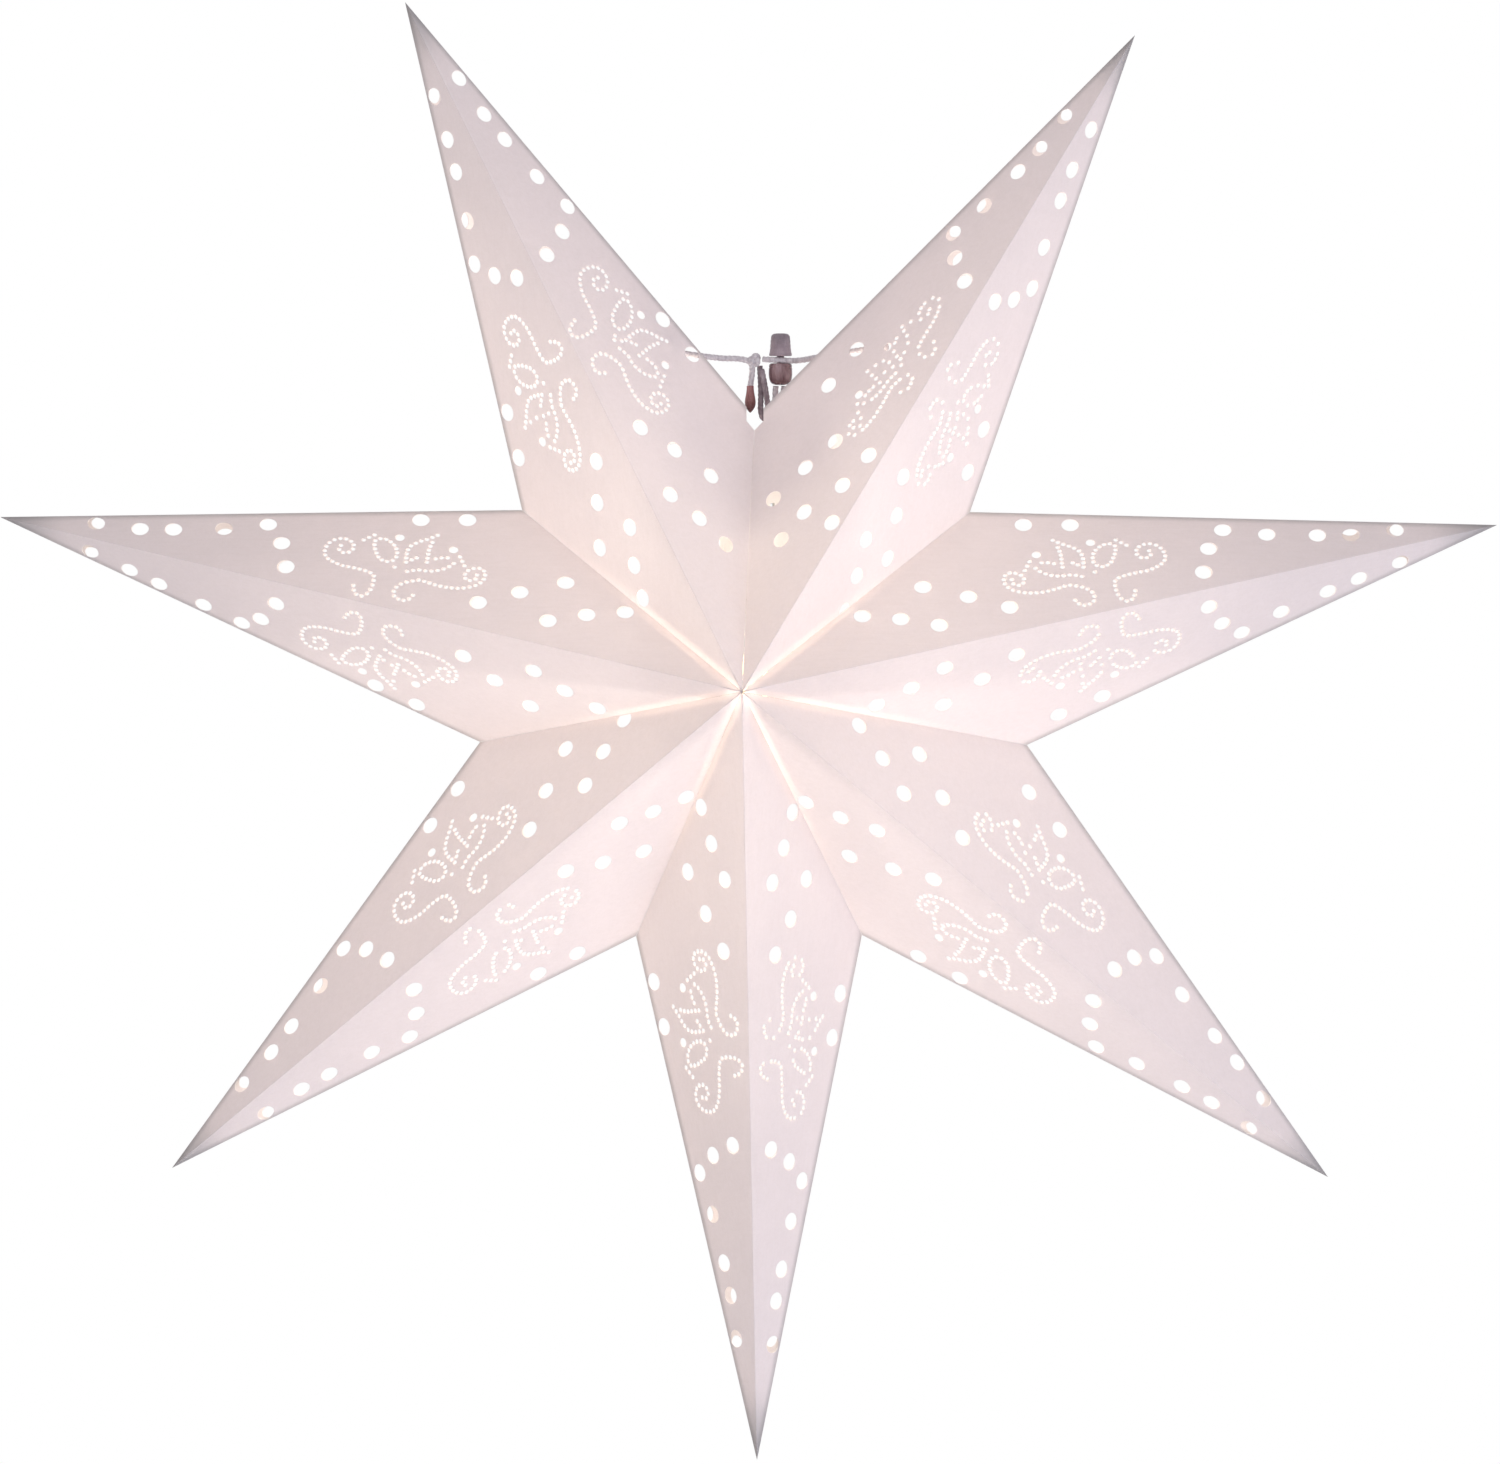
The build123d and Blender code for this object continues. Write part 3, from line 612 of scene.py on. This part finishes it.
def build_point(index):
    name, _, body = POINTS[index]
    V, F, N, DIST, KIND = [], [], [], [], []
    normals = []
    for sgn in (-1, 1):
        for side in (0, 1):
            panel = Panel(index, side, sgn)
            v3, tri, dist, margin = build_panel(panel, 1.2)
            base = sum(len(v) for v in V)
            V.append(v3)
            F.append(tri + base)
            DIST.append(dist[tri])
            k = len(normals)
            normals.append(panel.n)
            normals.append(-panel.into)
            KIND.append(np.where(margin, k + 1, k))
    V = np.concatenate(V)
    F = np.concatenate(F)
    DIST = np.concatenate(DIST)
    KIND = np.concatenate(KIND)
    normals = np.array(normals)
    # weld the shared folds
    key = np.round(V / 0.02).astype(np.int64)
    _, first, inv = np.unique(key, axis=0, return_index=True, return_inverse=True)
    inv = inv.reshape(-1)
    V = V[first]
    F = inv[F]
    good = (F[:, 0] != F[:, 1]) & (F[:, 1] != F[:, 2]) & (F[:, 2] != F[:, 0])
    F, DIST, KIND = F[good], DIST[good], KIND[good]
    # inner side of the sheet, mitred at the folds
    meets = np.zeros((len(V), len(normals)), bool)
    for c in range(3):
        meets[F[:, c], KIND] = True
    offset = np.zeros_like(V)
    for pattern in np.unique(meets, axis=0):
        ns = normals[pattern]
        d = np.linalg.lstsq(ns, -PAPER * np.ones(len(ns)), rcond=None)[0]
        offset[(meets == pattern).all(1)] = d
    # the layers of the narrow end lie close together, so the sheet thins out there
    wide = np.full(len(V), 1e9)
    np.minimum.at(wide, F.ravel(), (DIST[:, :, 0] + DIST[:, :, 1]).ravel())
    inner = V + offset * np.clip(wide / 5.0, 0.03, 1.0)[:, None]
    n = len(V)
    # walls round every edge that only one triangle has
    e = np.concatenate([F[:, [0, 1]], F[:, [1, 2]], F[:, [2, 0]]])
    owner = np.tile(np.arange(len(F)), 3)
    cor = np.concatenate([np.stack([DIST[:, 0], DIST[:, 1]], 1), np.stack([DIST[:, 1], DIST[:, 2]], 1),
                          np.stack([DIST[:, 2], DIST[:, 0]], 1)])
    k = np.sort(e, 1)
    _, index_of, count = np.unique(k, axis=0, return_index=True, return_counts=True)
    rim = index_of[count == 1]
    a, b = e[rim, 0], e[rim, 1]
    walls = np.concatenate([np.stack([b, a, a + n], 1), np.stack([b, a + n, b + n], 1)])
    wd = np.concatenate([np.stack([cor[rim, 1], cor[rim, 0], cor[rim, 0]], 1),
                         np.stack([cor[rim, 1], cor[rim, 0], cor[rim, 1]], 1)])
    faces = np.concatenate([F, F[:, ::-1] + n, walls])
    dist = np.concatenate([DIST, DIST[:, ::-1], wd])
    kind = np.concatenate([KIND, KIND + 100, np.full(len(walls), 999)])
    points = np.concatenate([V, inner])
    me = bpy.data.meshes.new(name + "_paper")
    co = points.copy()
    co[:, 2] += STAR_Z
    me.from_pydata((co * MM).tolist(), [], faces.tolist())
    att = me.attributes.new("panel", "FLOAT_VECTOR", "CORNER")
    att.data.foreach_set("vector", dist.reshape(-1).astype(np.float32))
    me.polygons.foreach_set("use_smooth", np.ones(len(faces), bool))
    # sharp where two faces of different kinds meet
    fe = np.concatenate([faces[:, [0, 1]], faces[:, [1, 2]], faces[:, [2, 0]]])
    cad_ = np.tile(kind, 3)
    key = np.sort(fe, 1)
    order = np.lexsort((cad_, key[:, 1], key[:, 0]))
    ks, kk = key[order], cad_[order]
    same = (ks[1:] == ks[:-1]).all(1) & (kk[1:] != kk[:-1])
    sharp = {tuple(x) for x in ks[1:][same].tolist()}
    me.update()
    ed = np.zeros(len(me.edges) * 2, np.int32)
    me.edges.foreach_get("vertices", ed)
    ed = np.sort(ed.reshape(-1, 2), 1)
    flags = np.array([tuple(x) in sharp for x in ed.tolist()], bool)
    sa = me.attributes.get("sharp_edge") or me.attributes.new("sharp_edge", "BOOLEAN", "EDGE")
    sa.data.foreach_set("value", flags)
    me.materials.append(PAPER_MAT)
    ob = bpy.data.objects.new(name + "_paper", me)
    bpy.context.scene.collection.objects.link(ob)
    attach(ob, body)
    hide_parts(name)
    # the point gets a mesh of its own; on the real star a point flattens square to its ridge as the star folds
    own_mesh(ob)
    print(name, "faces", len(faces), "rim", len(rim))
    return ob


for i in range(len(POINTS)):
    build_point(i)

# ---- other materials ------------------------------------------------------------
def finish_material(name, stops, scale, rough, bump_strength, metallic=0.0, stretch=None, detail=4.0,
                    bump_distance=0.0002, distortion=0.0, fade=None, **more):
    """Principled with noise-driven colour, roughness and bump."""
    m, nt, out = material(name)
    co = objco(nt)
    n1 = noise(nt, co, scale, detail, 0.6, distortion, stretch)
    n2 = noise(nt, co, scale * 7, 3, 0.6)
    p = principled(nt, None, rough[0], metallic, **more)
    colour = ramp(nt, n1, stops)
    if fade:
        # one end of the piece darker than the rest, by height in metres
        sep = nt.nodes.new("ShaderNodeSeparateXYZ")
        nt.links.new(co, sep.inputs[0])
        height_tone = ramp(nt, remap(nt, sep.outputs["Z"], fade[0], fade[1], 0.0, 1.0, True), [(0.0, fade[2]), (1.0, fade[3])])
        colour = multiply(nt, colour, height_tone)
    nt.links.new(colour, p.inputs["Base Color"])
    nt.links.new(remap(nt, n2, 0.25, 0.75, rough[0], rough[1]), p.inputs["Roughness"])
    if bump_strength:
        nt.links.new(bump(nt, n2, bump_strength, bump_distance), p.inputs["Normal"])
    nt.links.new(p.outputs[0], out.inputs["Surface"])
    return m


STRING_MAT = finish_material("tie_cord", [(0.3, (0.50, 0.455, 0.485)), (0.5, (0.66, 0.615, 0.64)), (0.7, (0.80, 0.765, 0.78))],
                             900, (0.5, 0.75), 0.35, stretch=(1, 1, 0.35), bump_distance=0.00008)
STRING_MAT.node_tree.nodes["Principled BSDF"].inputs["Sheen Weight"].default_value = 0.35
LOOP_MAT = finish_material("tie_cord_dark", [(0.3, (0.20, 0.155, 0.175)), (0.5, (0.31, 0.255, 0.28)), (0.7, (0.45, 0.395, 0.42))],
                           900, (0.5, 0.75), 0.35, stretch=(1, 1, 0.35), bump_distance=0.00008)
AGLET_MAT = finish_material("aglet_lacquer", [(0.3, (0.30, 0.115, 0.115)), (0.55, (0.44, 0.19, 0.185)), (0.75, (0.60, 0.36, 0.34))],
                            420, (0.18, 0.34), 0.12, stretch=(1, 1, 0.2),
                            fade=(0.0138, 0.0222, (0.28, 0.22, 0.22), (1.0, 1.0, 1.0)))
AGLET_MAT.node_tree.nodes["Principled BSDF"].inputs["Coat Weight"].default_value = 0.5
BARREL_MAT = finish_material("lock_barrel_smoke", [(0.3, (0.13, 0.06, 0.065)), (0.5, (0.27, 0.155, 0.165)), (0.72, (0.45, 0.31, 0.325))],
                             380, (0.14, 0.28), 0.1, stretch=(1, 1, 0.25),
                             fade=(0.0242, 0.0288, (0.50, 0.40, 0.42), (1.0, 1.0, 1.0)))
BARREL_MAT.node_tree.nodes["Principled BSDF"].inputs["Coat Weight"].default_value = 0.6
BUTTON_MAT = finish_material("lock_button_mauve", [(0.3, (0.30, 0.24, 0.265)), (0.6, (0.43, 0.36, 0.39)), (0.8, (0.56, 0.49, 0.52))],
                             400, (0.22, 0.38), 0.12, stretch=(1, 1, 0.4),
                             fade=(0.0375, 0.0440, (1.0, 0.96, 0.98), (0.70, 0.70, 0.72)))
STEEL_MAT = finish_material("steel_wire", [(0.3, (0.42, 0.42, 0.43)), (0.7, (0.62, 0.62, 0.63))], 700, (0.22, 0.4), 0.1, 1.0)
HOLDER_MAT = finish_material("holder_moulding", [(0.3, (0.80, 0.785, 0.75)), (0.7, (0.86, 0.85, 0.82))], 60, (0.28, 0.42), 0.12,
                             bump_distance=0.0003)
HOLDER_MAT.node_tree.nodes["Principled BSDF"].inputs["Coat Weight"].default_value = 0.25
PORCELAIN_MAT = finish_material("glazed_porcelain", [(0.3, (0.78, 0.765, 0.73)), (0.7, (0.85, 0.84, 0.81))], 90, (0.10, 0.2), 0.08)
BRASS_MAT = finish_material("turned_brass", [(0.3, (0.60, 0.42, 0.17)), (0.7, (0.80, 0.60, 0.29))], 240, (0.24, 0.42), 0.15, 1.0,
                            stretch=(0.3, 0.3, 3.0))
CAP_MAT = finish_material("nickel_cap", [(0.3, (0.55, 0.54, 0.52)), (0.7, (0.74, 0.73, 0.70))], 240, (0.2, 0.36), 0.12, 1.0,
                          stretch=(0.3, 0.3, 3.0))
VITRITE_MAT = finish_material("black_glass_insulator", [(0.3, (0.012, 0.012, 0.016)), (0.7, (0.045, 0.04, 0.05))], 200, (0.06, 0.16), 0.05)


def glass_material():
    m, nt, out = material("bulb_clear_glass")
    co = objco(nt)
    film = nt.nodes.new("ShaderNodeBsdfTransparent")
    film.inputs["Color"].default_value = (0.975, 0.98, 0.975, 1)
    p = principled(nt, None, 0.05)
    n1 = noise(nt, co, 120, 3, 0.5)
    nt.links.new(ramp(nt, n1, [(0.3, (0.86, 0.88, 0.87)), (0.7, (0.93, 0.94, 0.93))]), p.inputs["Base Color"])
    nt.links.new(remap(nt, n1, 0.3, 0.7, 0.03, 0.09), p.inputs["Roughness"])
    nt.links.new(bump(nt, n1, 0.06, 0.0003), p.inputs["Normal"])
    fr = nt.nodes.new("ShaderNodeFresnel")
    fr.inputs["IOR"].default_value = 1.5
    mix = nt.nodes.new("ShaderNodeMixShader")
    nt.links.new(remap(nt, fr.outputs[0], 0.0, 1.0, 0.03, 0.9), mix.inputs["Fac"])
    nt.links.new(film.outputs[0], mix.inputs[1])
    nt.links.new(p.outputs[0], mix.inputs[2])
    nt.links.new(mix.outputs[0], out.inputs["Surface"])
    return m


def filament_material():
    m, nt, out = material("led_phosphor")
    co = objco(nt)
    n1 = noise(nt, co, 900, 2, 0.5)
    p = principled(nt, None, 0.5)
    nt.links.new(ramp(nt, n1, [(0.35, (0.86, 0.56, 0.16)), (0.65, (0.95, 0.72, 0.30))]), p.inputs["Base Color"])
    nt.links.new(remap(nt, n1, 0.3, 0.7, 0.4, 0.62), p.inputs["Roughness"])
    nt.links.new(bump(nt, n1, 0.3, 0.0001), p.inputs["Normal"])
    p.inputs["Emission Color"].default_value = (1.0, 0.72, 0.38, 1)
    p.inputs["Emission Strength"].default_value = 6.0
    nt.links.new(p.outputs[0], out.inputs["Surface"])
    return m


NODE_LOOKS = {
    "cord_grip": HOLDER_MAT, "holder_cap": HOLDER_MAT, "holder_body": HOLDER_MAT,
    "grip_screw": STEEL_MAT, "terminal_screws": BRASS_MAT, "contact_carrier": PORCELAIN_MAT,
    "centre_contact": BRASS_MAT, "screw_shell": BRASS_MAT, "bulb_tip_contact": CAP_MAT,
    "bulb_insulator": VITRITE_MAT, "bulb_cap": CAP_MAT, "bulb_glass": glass_material(),
    "bulb_stem": PORCELAIN_MAT, "led_filaments": filament_material(), "filament_wires": STEEL_MAT,
    "toggle_spring": STEEL_MAT,
}
for name, mat in NODE_LOOKS.items():
    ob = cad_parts[name]
    ob.data.materials.clear()
    ob.data.materials.append(mat)


# ---- tie at the open seam ----------------------------------------------------------
def nurbs(points):
    """Points along the smooth cord line through a route, in mm."""
    cu = bpy.data.curves.new("route", "CURVE")
    cu.dimensions = "3D"
    sp = cu.splines.new("NURBS")
    sp.points.add(len(points) - 1)
    for q, p in zip(sp.points, points):
        q.co = (p[0] * MM, p[1] * MM, p[2] * MM, 1)
    sp.order_u = 3
    sp.use_endpoint_u = True
    sp.resolution_u = 16
    ob = bpy.data.objects.new("route", cu)
    bpy.context.scene.collection.objects.link(ob)
    bpy.context.view_layer.update()
    me = bpy.data.meshes.new_from_object(ob.evaluated_get(bpy.context.evaluated_depsgraph_get()))
    pts = np.array([v.co[:] for v in me.vertices]) / MM
    bpy.data.objects.remove(ob)
    bpy.data.curves.remove(cu)
    bpy.data.meshes.remove(me)
    return pts


def resample(pts, step):
    seg = np.linalg.norm(np.diff(pts, axis=0), axis=1)
    s = np.concatenate([[0], np.cumsum(seg)])
    n = max(3, int(round(s[-1] / step)) + 1)
    w = np.linspace(0, s[-1], n)
    return np.stack([np.interp(w, s, pts[:, k]) for k in range(3)], 1)


def frames(pts, closed=False):
    t = np.gradient(pts, axis=0)
    if closed:
        t = np.roll(pts, -1, 0) - np.roll(pts, 1, 0)
    t /= np.linalg.norm(t, axis=1)[:, None]
    up = np.array([0.0, 0, 1]) if abs(t[0][2]) < 0.9 else np.array([1.0, 0, 0])
    u = np.zeros_like(pts)
    u[0] = unit(np.cross(t[0], up))
    for i in range(1, len(pts)):
        v = u[i - 1] - t[i] * (u[i - 1] @ t[i])
        u[i] = v / np.linalg.norm(v)
    return t, u, np.cross(t, u)


def rope_geometry(pts, radius, sides=24, lobes=3, pitch=5.2, taper=None, fray=0.0):
    """A laid cord: three strands show as lobes that wind round its line."""
    pts = resample(pts, 0.34)
    t, u, v = frames(pts)
    seg = np.linalg.norm(np.diff(pts, axis=0), axis=1)
    s = np.concatenate([[0], np.cumsum(seg)])
    a = np.arange(sides) * 2 * math.pi / sides
    verts, faces = [], []
    for i, p in enumerate(pts):
        turn = 2 * math.pi * s[i] / pitch
        lobe = np.abs(np.cos(lobes * (a - turn) / 2))
        r = radius * (0.80 + 0.20 * lobe ** 0.8)
        r = r * (1 + 0.03 * np.sin(s[i] * 2.1 + a * 2))
        if taper:
            r = r * taper(s[i], s[-1])
        verts += (p + np.outer(r * np.cos(a), u[i]) + np.outer(r * np.sin(a), v[i])).tolist()
    n = len(pts)
    for i in range(n - 1):
        for k in range(sides):
            q = (k + 1) % sides
            faces.append((i * sides + k, i * sides + q, (i + 1) * sides + q, (i + 1) * sides + k))
    verts.append((pts[0] - t[0] * 0.1).tolist())
    verts.append((pts[-1] + t[-1] * 0.1).tolist())
    for k in range(sides):
        q = (k + 1) % sides
        faces.append((n * sides, q, k))
        faces.append((n * sides + 1, (n - 1) * sides + k, (n - 1) * sides + q))
    return verts, faces, pts


def mesh_object(name, verts, faces, mat, body, node_name, smooth=True, sharp_angle=None):
    me = bpy.data.meshes.new(name)
    me.from_pydata((np.array(verts) * MM).tolist(), [], faces)
    me.polygons.foreach_set("use_smooth", np.full(len(me.polygons), smooth))
    me.materials.append(mat)
    me.update()
    if sharp_angle is not None:
        me.set_sharp_from_angle(angle=math.radians(sharp_angle))
    ob = bpy.data.objects.new(name, me)
    bpy.context.scene.collection.objects.link(ob)
    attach(ob, body)
    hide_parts(node_name)
    return ob


def knot_geometry(centre, size, r, turn):
    """An overhand knot pulled up tight."""
    n = 150
    w = np.arange(n) * 2 * math.pi / n
    k = (size - r) / 3.0
    pts = np.stack([(np.sin(w) + 2 * np.sin(2 * w)) * k, (np.cos(w) - 2 * np.cos(2 * w)) * k * 0.92,
                    -np.sin(3 * w) * k * 1.5], 1)
    cx, sx = math.cos(turn[0]), math.sin(turn[0])
    cz, sz = math.cos(turn[1]), math.sin(turn[1])
    rot = np.array([[1, 0, 0], [0, cx, -sx], [0, sx, cx]]) @ np.array([[cz, -sz, 0], [sz, cz, 0], [0, 0, 1]])
    pts = pts @ rot.T + np.array(centre)
    t, u, v = frames(pts, True)
    # spread the frame's closing twist over the whole loop
    last = u[-1] - t[0] * (u[-1] @ t[0])
    twist = math.atan2(np.cross(last, u[0]) @ t[0], last @ u[0])
    sides = 20
    a = np.arange(sides) * 2 * math.pi / sides
    verts, faces = [], []
    for i in range(n):
        b = a + twist * i / n
        lobe = np.abs(np.cos(3 * (b - 2 * math.pi * i * 7 / n) / 2))
        rr = r * (0.80 + 0.20 * lobe ** 0.8)
        verts += (pts[i] + np.outer(rr * np.cos(b), u[i]) + np.outer(rr * np.sin(b), v[i])).tolist()
    for i in range(n):
        j = (i + 1) % n
        for k2 in range(sides):
            q = (k2 + 1) % sides
            faces.append((i * sides + k2, i * sides + q, j * sides + q, j * sides + k2))
    return verts, faces


L_IN = P(-33.97, -1.69, 0) ; L_IN.z = 37.25
R_IN = P(50.10, 7.50, 0) ; R_IN.z = 39.04
LEFT_ROUTE = [L_IN, P(-15, 8.5, 133.4), P(-6.5, 10, 133.6), P(-1.2, 10.4, 132.2), P(-1.0, 11.2, 127.4), P(-1.9, 11.4, 122.6)]
RIGHT_ROUTE = [P(3.1, 9.2, 133.2), P(9.0, 8.0, 132.9), P(17.4, 8.9, 132.4), P(27, 13, 134.6), R_IN]
LOOP_ROUTE = [P(1.9, 12.6, 130.6), P(2.3, 12.9, 124.4), P(2.4, 13.1, 118.0), P(2.1, 13.0, 112.0), P(3.8, 12.6, 108.4),
              P(5.4, 11.7, 112.2), P(4.7, 10.6, 118.2), P(3.6, 9.8, 124.4), P(2.6, 9.3, 129.2)]
TAIL_ROUTES = [[P(8.3, 11.6, 122.4), P(8.0, 12.1, 118.4), P(8.3, 12.9, 114.2), P(8.9, 13.4, 109.8)],
               [P(11.6, 11.4, 122.4), P(11.2, 11.9, 118.0), P(11.5, 12.8, 113.8), P(12.4, 13.4, 108.8)]]
STRING_R = 1.2


for piece, route, body, cad in (("string_left", LEFT_ROUTE, "tie_left", "tie_string_left"),
                                ("string_right", RIGHT_ROUTE, "tie_right", "tie_string_right"),
                                ("string_loop", LOOP_ROUTE, "tie_left", "tie_loop")):
    line_pts = nurbs(route)
    v, f, pts = rope_geometry(line_pts, STRING_R)
    ob = mesh_object(piece, v, f, LOOP_MAT if piece == "string_loop" else STRING_MAT, body, cad)
v, f = [], []
for route in TAIL_ROUTES:
    v1, f1, _ = rope_geometry(nurbs(route), STRING_R, taper=lambda s, total: 1.0 if s < total - 1.2 else 1.0 - 0.35 * (s - total + 1.2) / 1.2)
    f += [tuple(i + len(v) for i in face) for face in f1]
    v += v1
mesh_object("string_tails", v, f, STRING_MAT, "tie_right", "toggle_tails")

for piece, at, size, r, turn, body, cad in (
        ("knot_centre", P(-0.2, 10.2, 132.9), 3.05, 1.25, (1.35, 0.5), "tie_left", "tie_knot"),
        ("knot_left", L_IN, 3.9, 1.5, (0.4, 0.2), "tie_left", "stop_knot_left"),
        ("knot_right", R_IN, 3.9, 1.5, (0.9, 1.1), "tie_right", "stop_knot_right")):
    v, f = knot_geometry(at, size, r, turn)
    ob = mesh_object(piece, v, f, STRING_MAT, body, cad)
    if piece != "knot_centre":
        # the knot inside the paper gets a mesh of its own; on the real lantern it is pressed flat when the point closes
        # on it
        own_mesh(ob)


def lathe(profile, centre, segments=48, flutes=0, depth=0.0, span=None):
    """Turned form round a vertical axis from (radius, height) pairs; flutes cut between the two heights of span."""
    a = np.arange(segments) * 2 * math.pi / segments
    verts, faces, rings = [], [], []
    for r, z in profile:
        if r < 1e-6:
            rings.append([len(verts)])
            verts.append((centre[0], centre[1], centre[2] + z))
            continue
        rr = np.full(segments, float(r))
        if flutes and span[0] <= z <= span[1]:
            rr = rr - depth * (0.5 - 0.5 * np.cos(flutes * a)) ** 3
        rings.append(list(range(len(verts), len(verts) + segments)))
        verts += [(centre[0] + q * math.cos(b), centre[1] + q * math.sin(b), centre[2] + z) for q, b in zip(rr, a)]
    for lower, upper in zip(rings, rings[1:]):
        for k in range(segments):
            q = (k + 1) % segments
            if len(lower) == 1 and len(upper) > 1:
                faces.append((lower[0], upper[k], upper[q]))
            elif len(upper) == 1 and len(lower) > 1:
                faces.append((lower[k], upper[0], lower[q]))
            elif len(lower) > 1:
                faces.append((lower[k], upper[k], upper[q], lower[q]))
    return verts, faces


LOCK = (10.2, 11.0, STAR_Z)
button_profile = [(0, 143.6), (1.6, 143.58), (2.7, 143.4), (3.3, 143.05), (3.7, 142.5), (3.85, 141.7), (3.8, 141.2),
                  (3.95, 140.9), (4.0, 139.8), (3.92, 139.5), (4.05, 139.2), (4.12, 138.0), (4.05, 137.7), (4.2, 137.3),
                  (4.35, 136.0), (4.58, 135.2), (4.55, 134.75), (4.3, 134.5), (1.5, 134.5), (1.5, 126.2), (2.9, 126.2),
                  (2.9, 125.2), (0, 125.2)]
v, f = lathe(button_profile, LOCK)
mesh_object("lock_button_turned", v, f, BUTTON_MAT, "button", "toggle_button", sharp_angle=38)
barrel_profile = [(1.75, 131.6), (3.7, 131.6), (4.05, 131.5), (4.4, 131.2), (4.58, 130.8), (4.62, 130.2), (4.5, 129.9),
                  (4.66, 129.6), (4.7, 128.2), (4.7, 127.0), (4.6, 126.0), (4.42, 125.1), (4.2, 124.4), (3.8, 123.75),
                  (3.2, 123.25), (2.0, 122.95), (0, 122.8), (0, 124.2), (3.0, 124.6), (3.3, 126.0), (3.3, 130.2),
                  (1.75, 130.2), (1.75, 131.6)]
v, f = lathe(barrel_profile, LOCK, 64, 16, 0.22, (125.5, 129.7))
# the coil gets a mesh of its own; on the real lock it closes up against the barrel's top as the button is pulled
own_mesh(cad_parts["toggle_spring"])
mesh_object("lock_barrel_turned", v, f, BARREL_MAT, "tie_right", "toggle_barrel", sharp_angle=38)
aglet_profile = [(0, 0.0), (1.35, 0.0), (1.45, -0.2), (1.42, -0.9), (1.5, -1.9), (1.68, -3.1), (1.9, -4.3), (2.1, -5.4),
                 (2.2, -6.5), (2.14, -7.5), (1.9, -8.4), (1.5, -9.2), (1.0, -9.9), (0.55, -10.4), (0.25, -10.7), (0, -10.8)]
v, f = lathe([(r, z) for r, z in aglet_profile], (-1.9, 11.4, STAR_Z + 122.6), 40)
mesh_object("aglet_turned", v, f, AGLET_MAT, "tie_left", "aglet", sharp_angle=50)

# ---- stage, light, camera ---------------------------------------------------------
LAMP = 77.0
NECK = 13.0
TOP = 9.0
FILL = 0.66
KEY = 8.8

world = bpy.data.worlds.new("studio")
bpy.context.scene.world = world
world.use_nodes = True
wn = world.node_tree
wn.nodes.clear()
wo = wn.nodes.new("ShaderNodeOutputWorld")
seen = wn.nodes.new("ShaderNodeBackground")
seen.inputs["Color"].default_value = (1, 1, 1, 1)
seen.inputs["Strength"].default_value = 1.0
fill = wn.nodes.new("ShaderNodeBackground")
fill.inputs["Color"].default_value = (0.975, 0.94, 0.98, 1)
fill.inputs["Strength"].default_value = FILL
lp = wn.nodes.new("ShaderNodeLightPath")
wm = wn.nodes.new("ShaderNodeMixShader")
wn.links.new(lp.outputs["Is Camera Ray"], wm.inputs[0])
wn.links.new(fill.outputs[0], wm.inputs[1])
wn.links.new(seen.outputs[0], wm.inputs[2])
wn.links.new(wm.outputs[0], wo.inputs["Surface"])

floor_me = bpy.data.meshes.new("floor")
s, z = 6.0, -1.6
floor_me.from_pydata([(-s, -s, z), (s, -s, z), (s, s, z), (-s, s, z)], [], [(0, 1, 2, 3)])
floor = bpy.data.objects.new("floor", floor_me)
bpy.context.scene.collection.objects.link(floor)
fm, fnt, fout = material("floor_pale")
fp = principled(fnt, (0.88, 0.88, 0.88), 0.7)
fnt.links.new(fp.outputs[0], fout.inputs["Surface"])
floor_me.materials.append(fm)


def area(name, at, to, size, energy, colour):
    li = bpy.data.lights.new(name, "AREA")
    li.shape = "SQUARE"
    li.size = size
    li.energy = energy
    li.color = colour
    ob = bpy.data.objects.new(name, li)
    bpy.context.scene.collection.objects.link(ob)
    ob.location = at
    ob.rotation_euler = (Vector(to) - Vector(at)).to_track_quat("-Z", "Y").to_euler()
    ob.visible_camera = False
    return ob


area("key_low_right", (1.0, -1.1, -0.85), (0, 0, -0.12), 0.9, KEY, (0.74, 0.80, 1.0))


def glow(name, at, radius, strength, smooth, colour=(0.96, 0.92, 0.82)):
    """Soft point light of the bulb with an even spread inside the star."""
    li = bpy.data.lights.new(name, "POINT")
    li.energy = 1.0
    li.color = colour
    li.shadow_soft_size = radius
    li.use_nodes = True
    tree = li.node_tree
    emit = tree.nodes.get("Emission") or tree.nodes.new("ShaderNodeEmission")
    fall = tree.nodes.new("ShaderNodeLightFalloff")
    fall.inputs["Strength"].default_value = strength
    fall.inputs["Smooth"].default_value = smooth
    tree.links.new(fall.outputs["Constant"], emit.inputs["Strength"])
    ob = bpy.data.objects.new(name, li)
    ob.location = at
    bpy.context.scene.collection.objects.link(ob)


glow("lamp_glow", (0, 0, -0.0995), 0.012, LAMP, 0.003, (0.985, 0.905, 0.69))
glow("neck_glow_front", (0, -0.029, -0.045), 0.004, NECK, 0.0)
glow("neck_glow_back", (0, 0.029, -0.045), 0.004, NECK, 0.0)
glow("neck_glow_left", (-0.016, 0, -0.004), 0.003, TOP, 0.0)
glow("neck_glow_right", (0.016, 0, -0.004), 0.003, TOP, 0.0)

cam = bpy.data.cameras.new("camera")
cam.sensor_fit = "HORIZONTAL"
cam.sensor_width = 36.0
cam.lens = 840.0
cam.clip_start = 0.1
cam.clip_end = 60.0
cam_ob = bpy.data.objects.new("camera", cam)
bpy.context.scene.collection.objects.link(cam_ob)
cam_ob.location = (-0.002, -14.0, -0.115)
cam_ob.rotation_euler = (math.radians(90), 0, 0)
bpy.context.scene.camera = cam_ob

sc = bpy.context.scene
sc.view_settings.view_transform = "Standard"
sc.view_settings.look = "None"
sc.view_settings.exposure = 0.0
sc.view_settings.gamma = 1.0
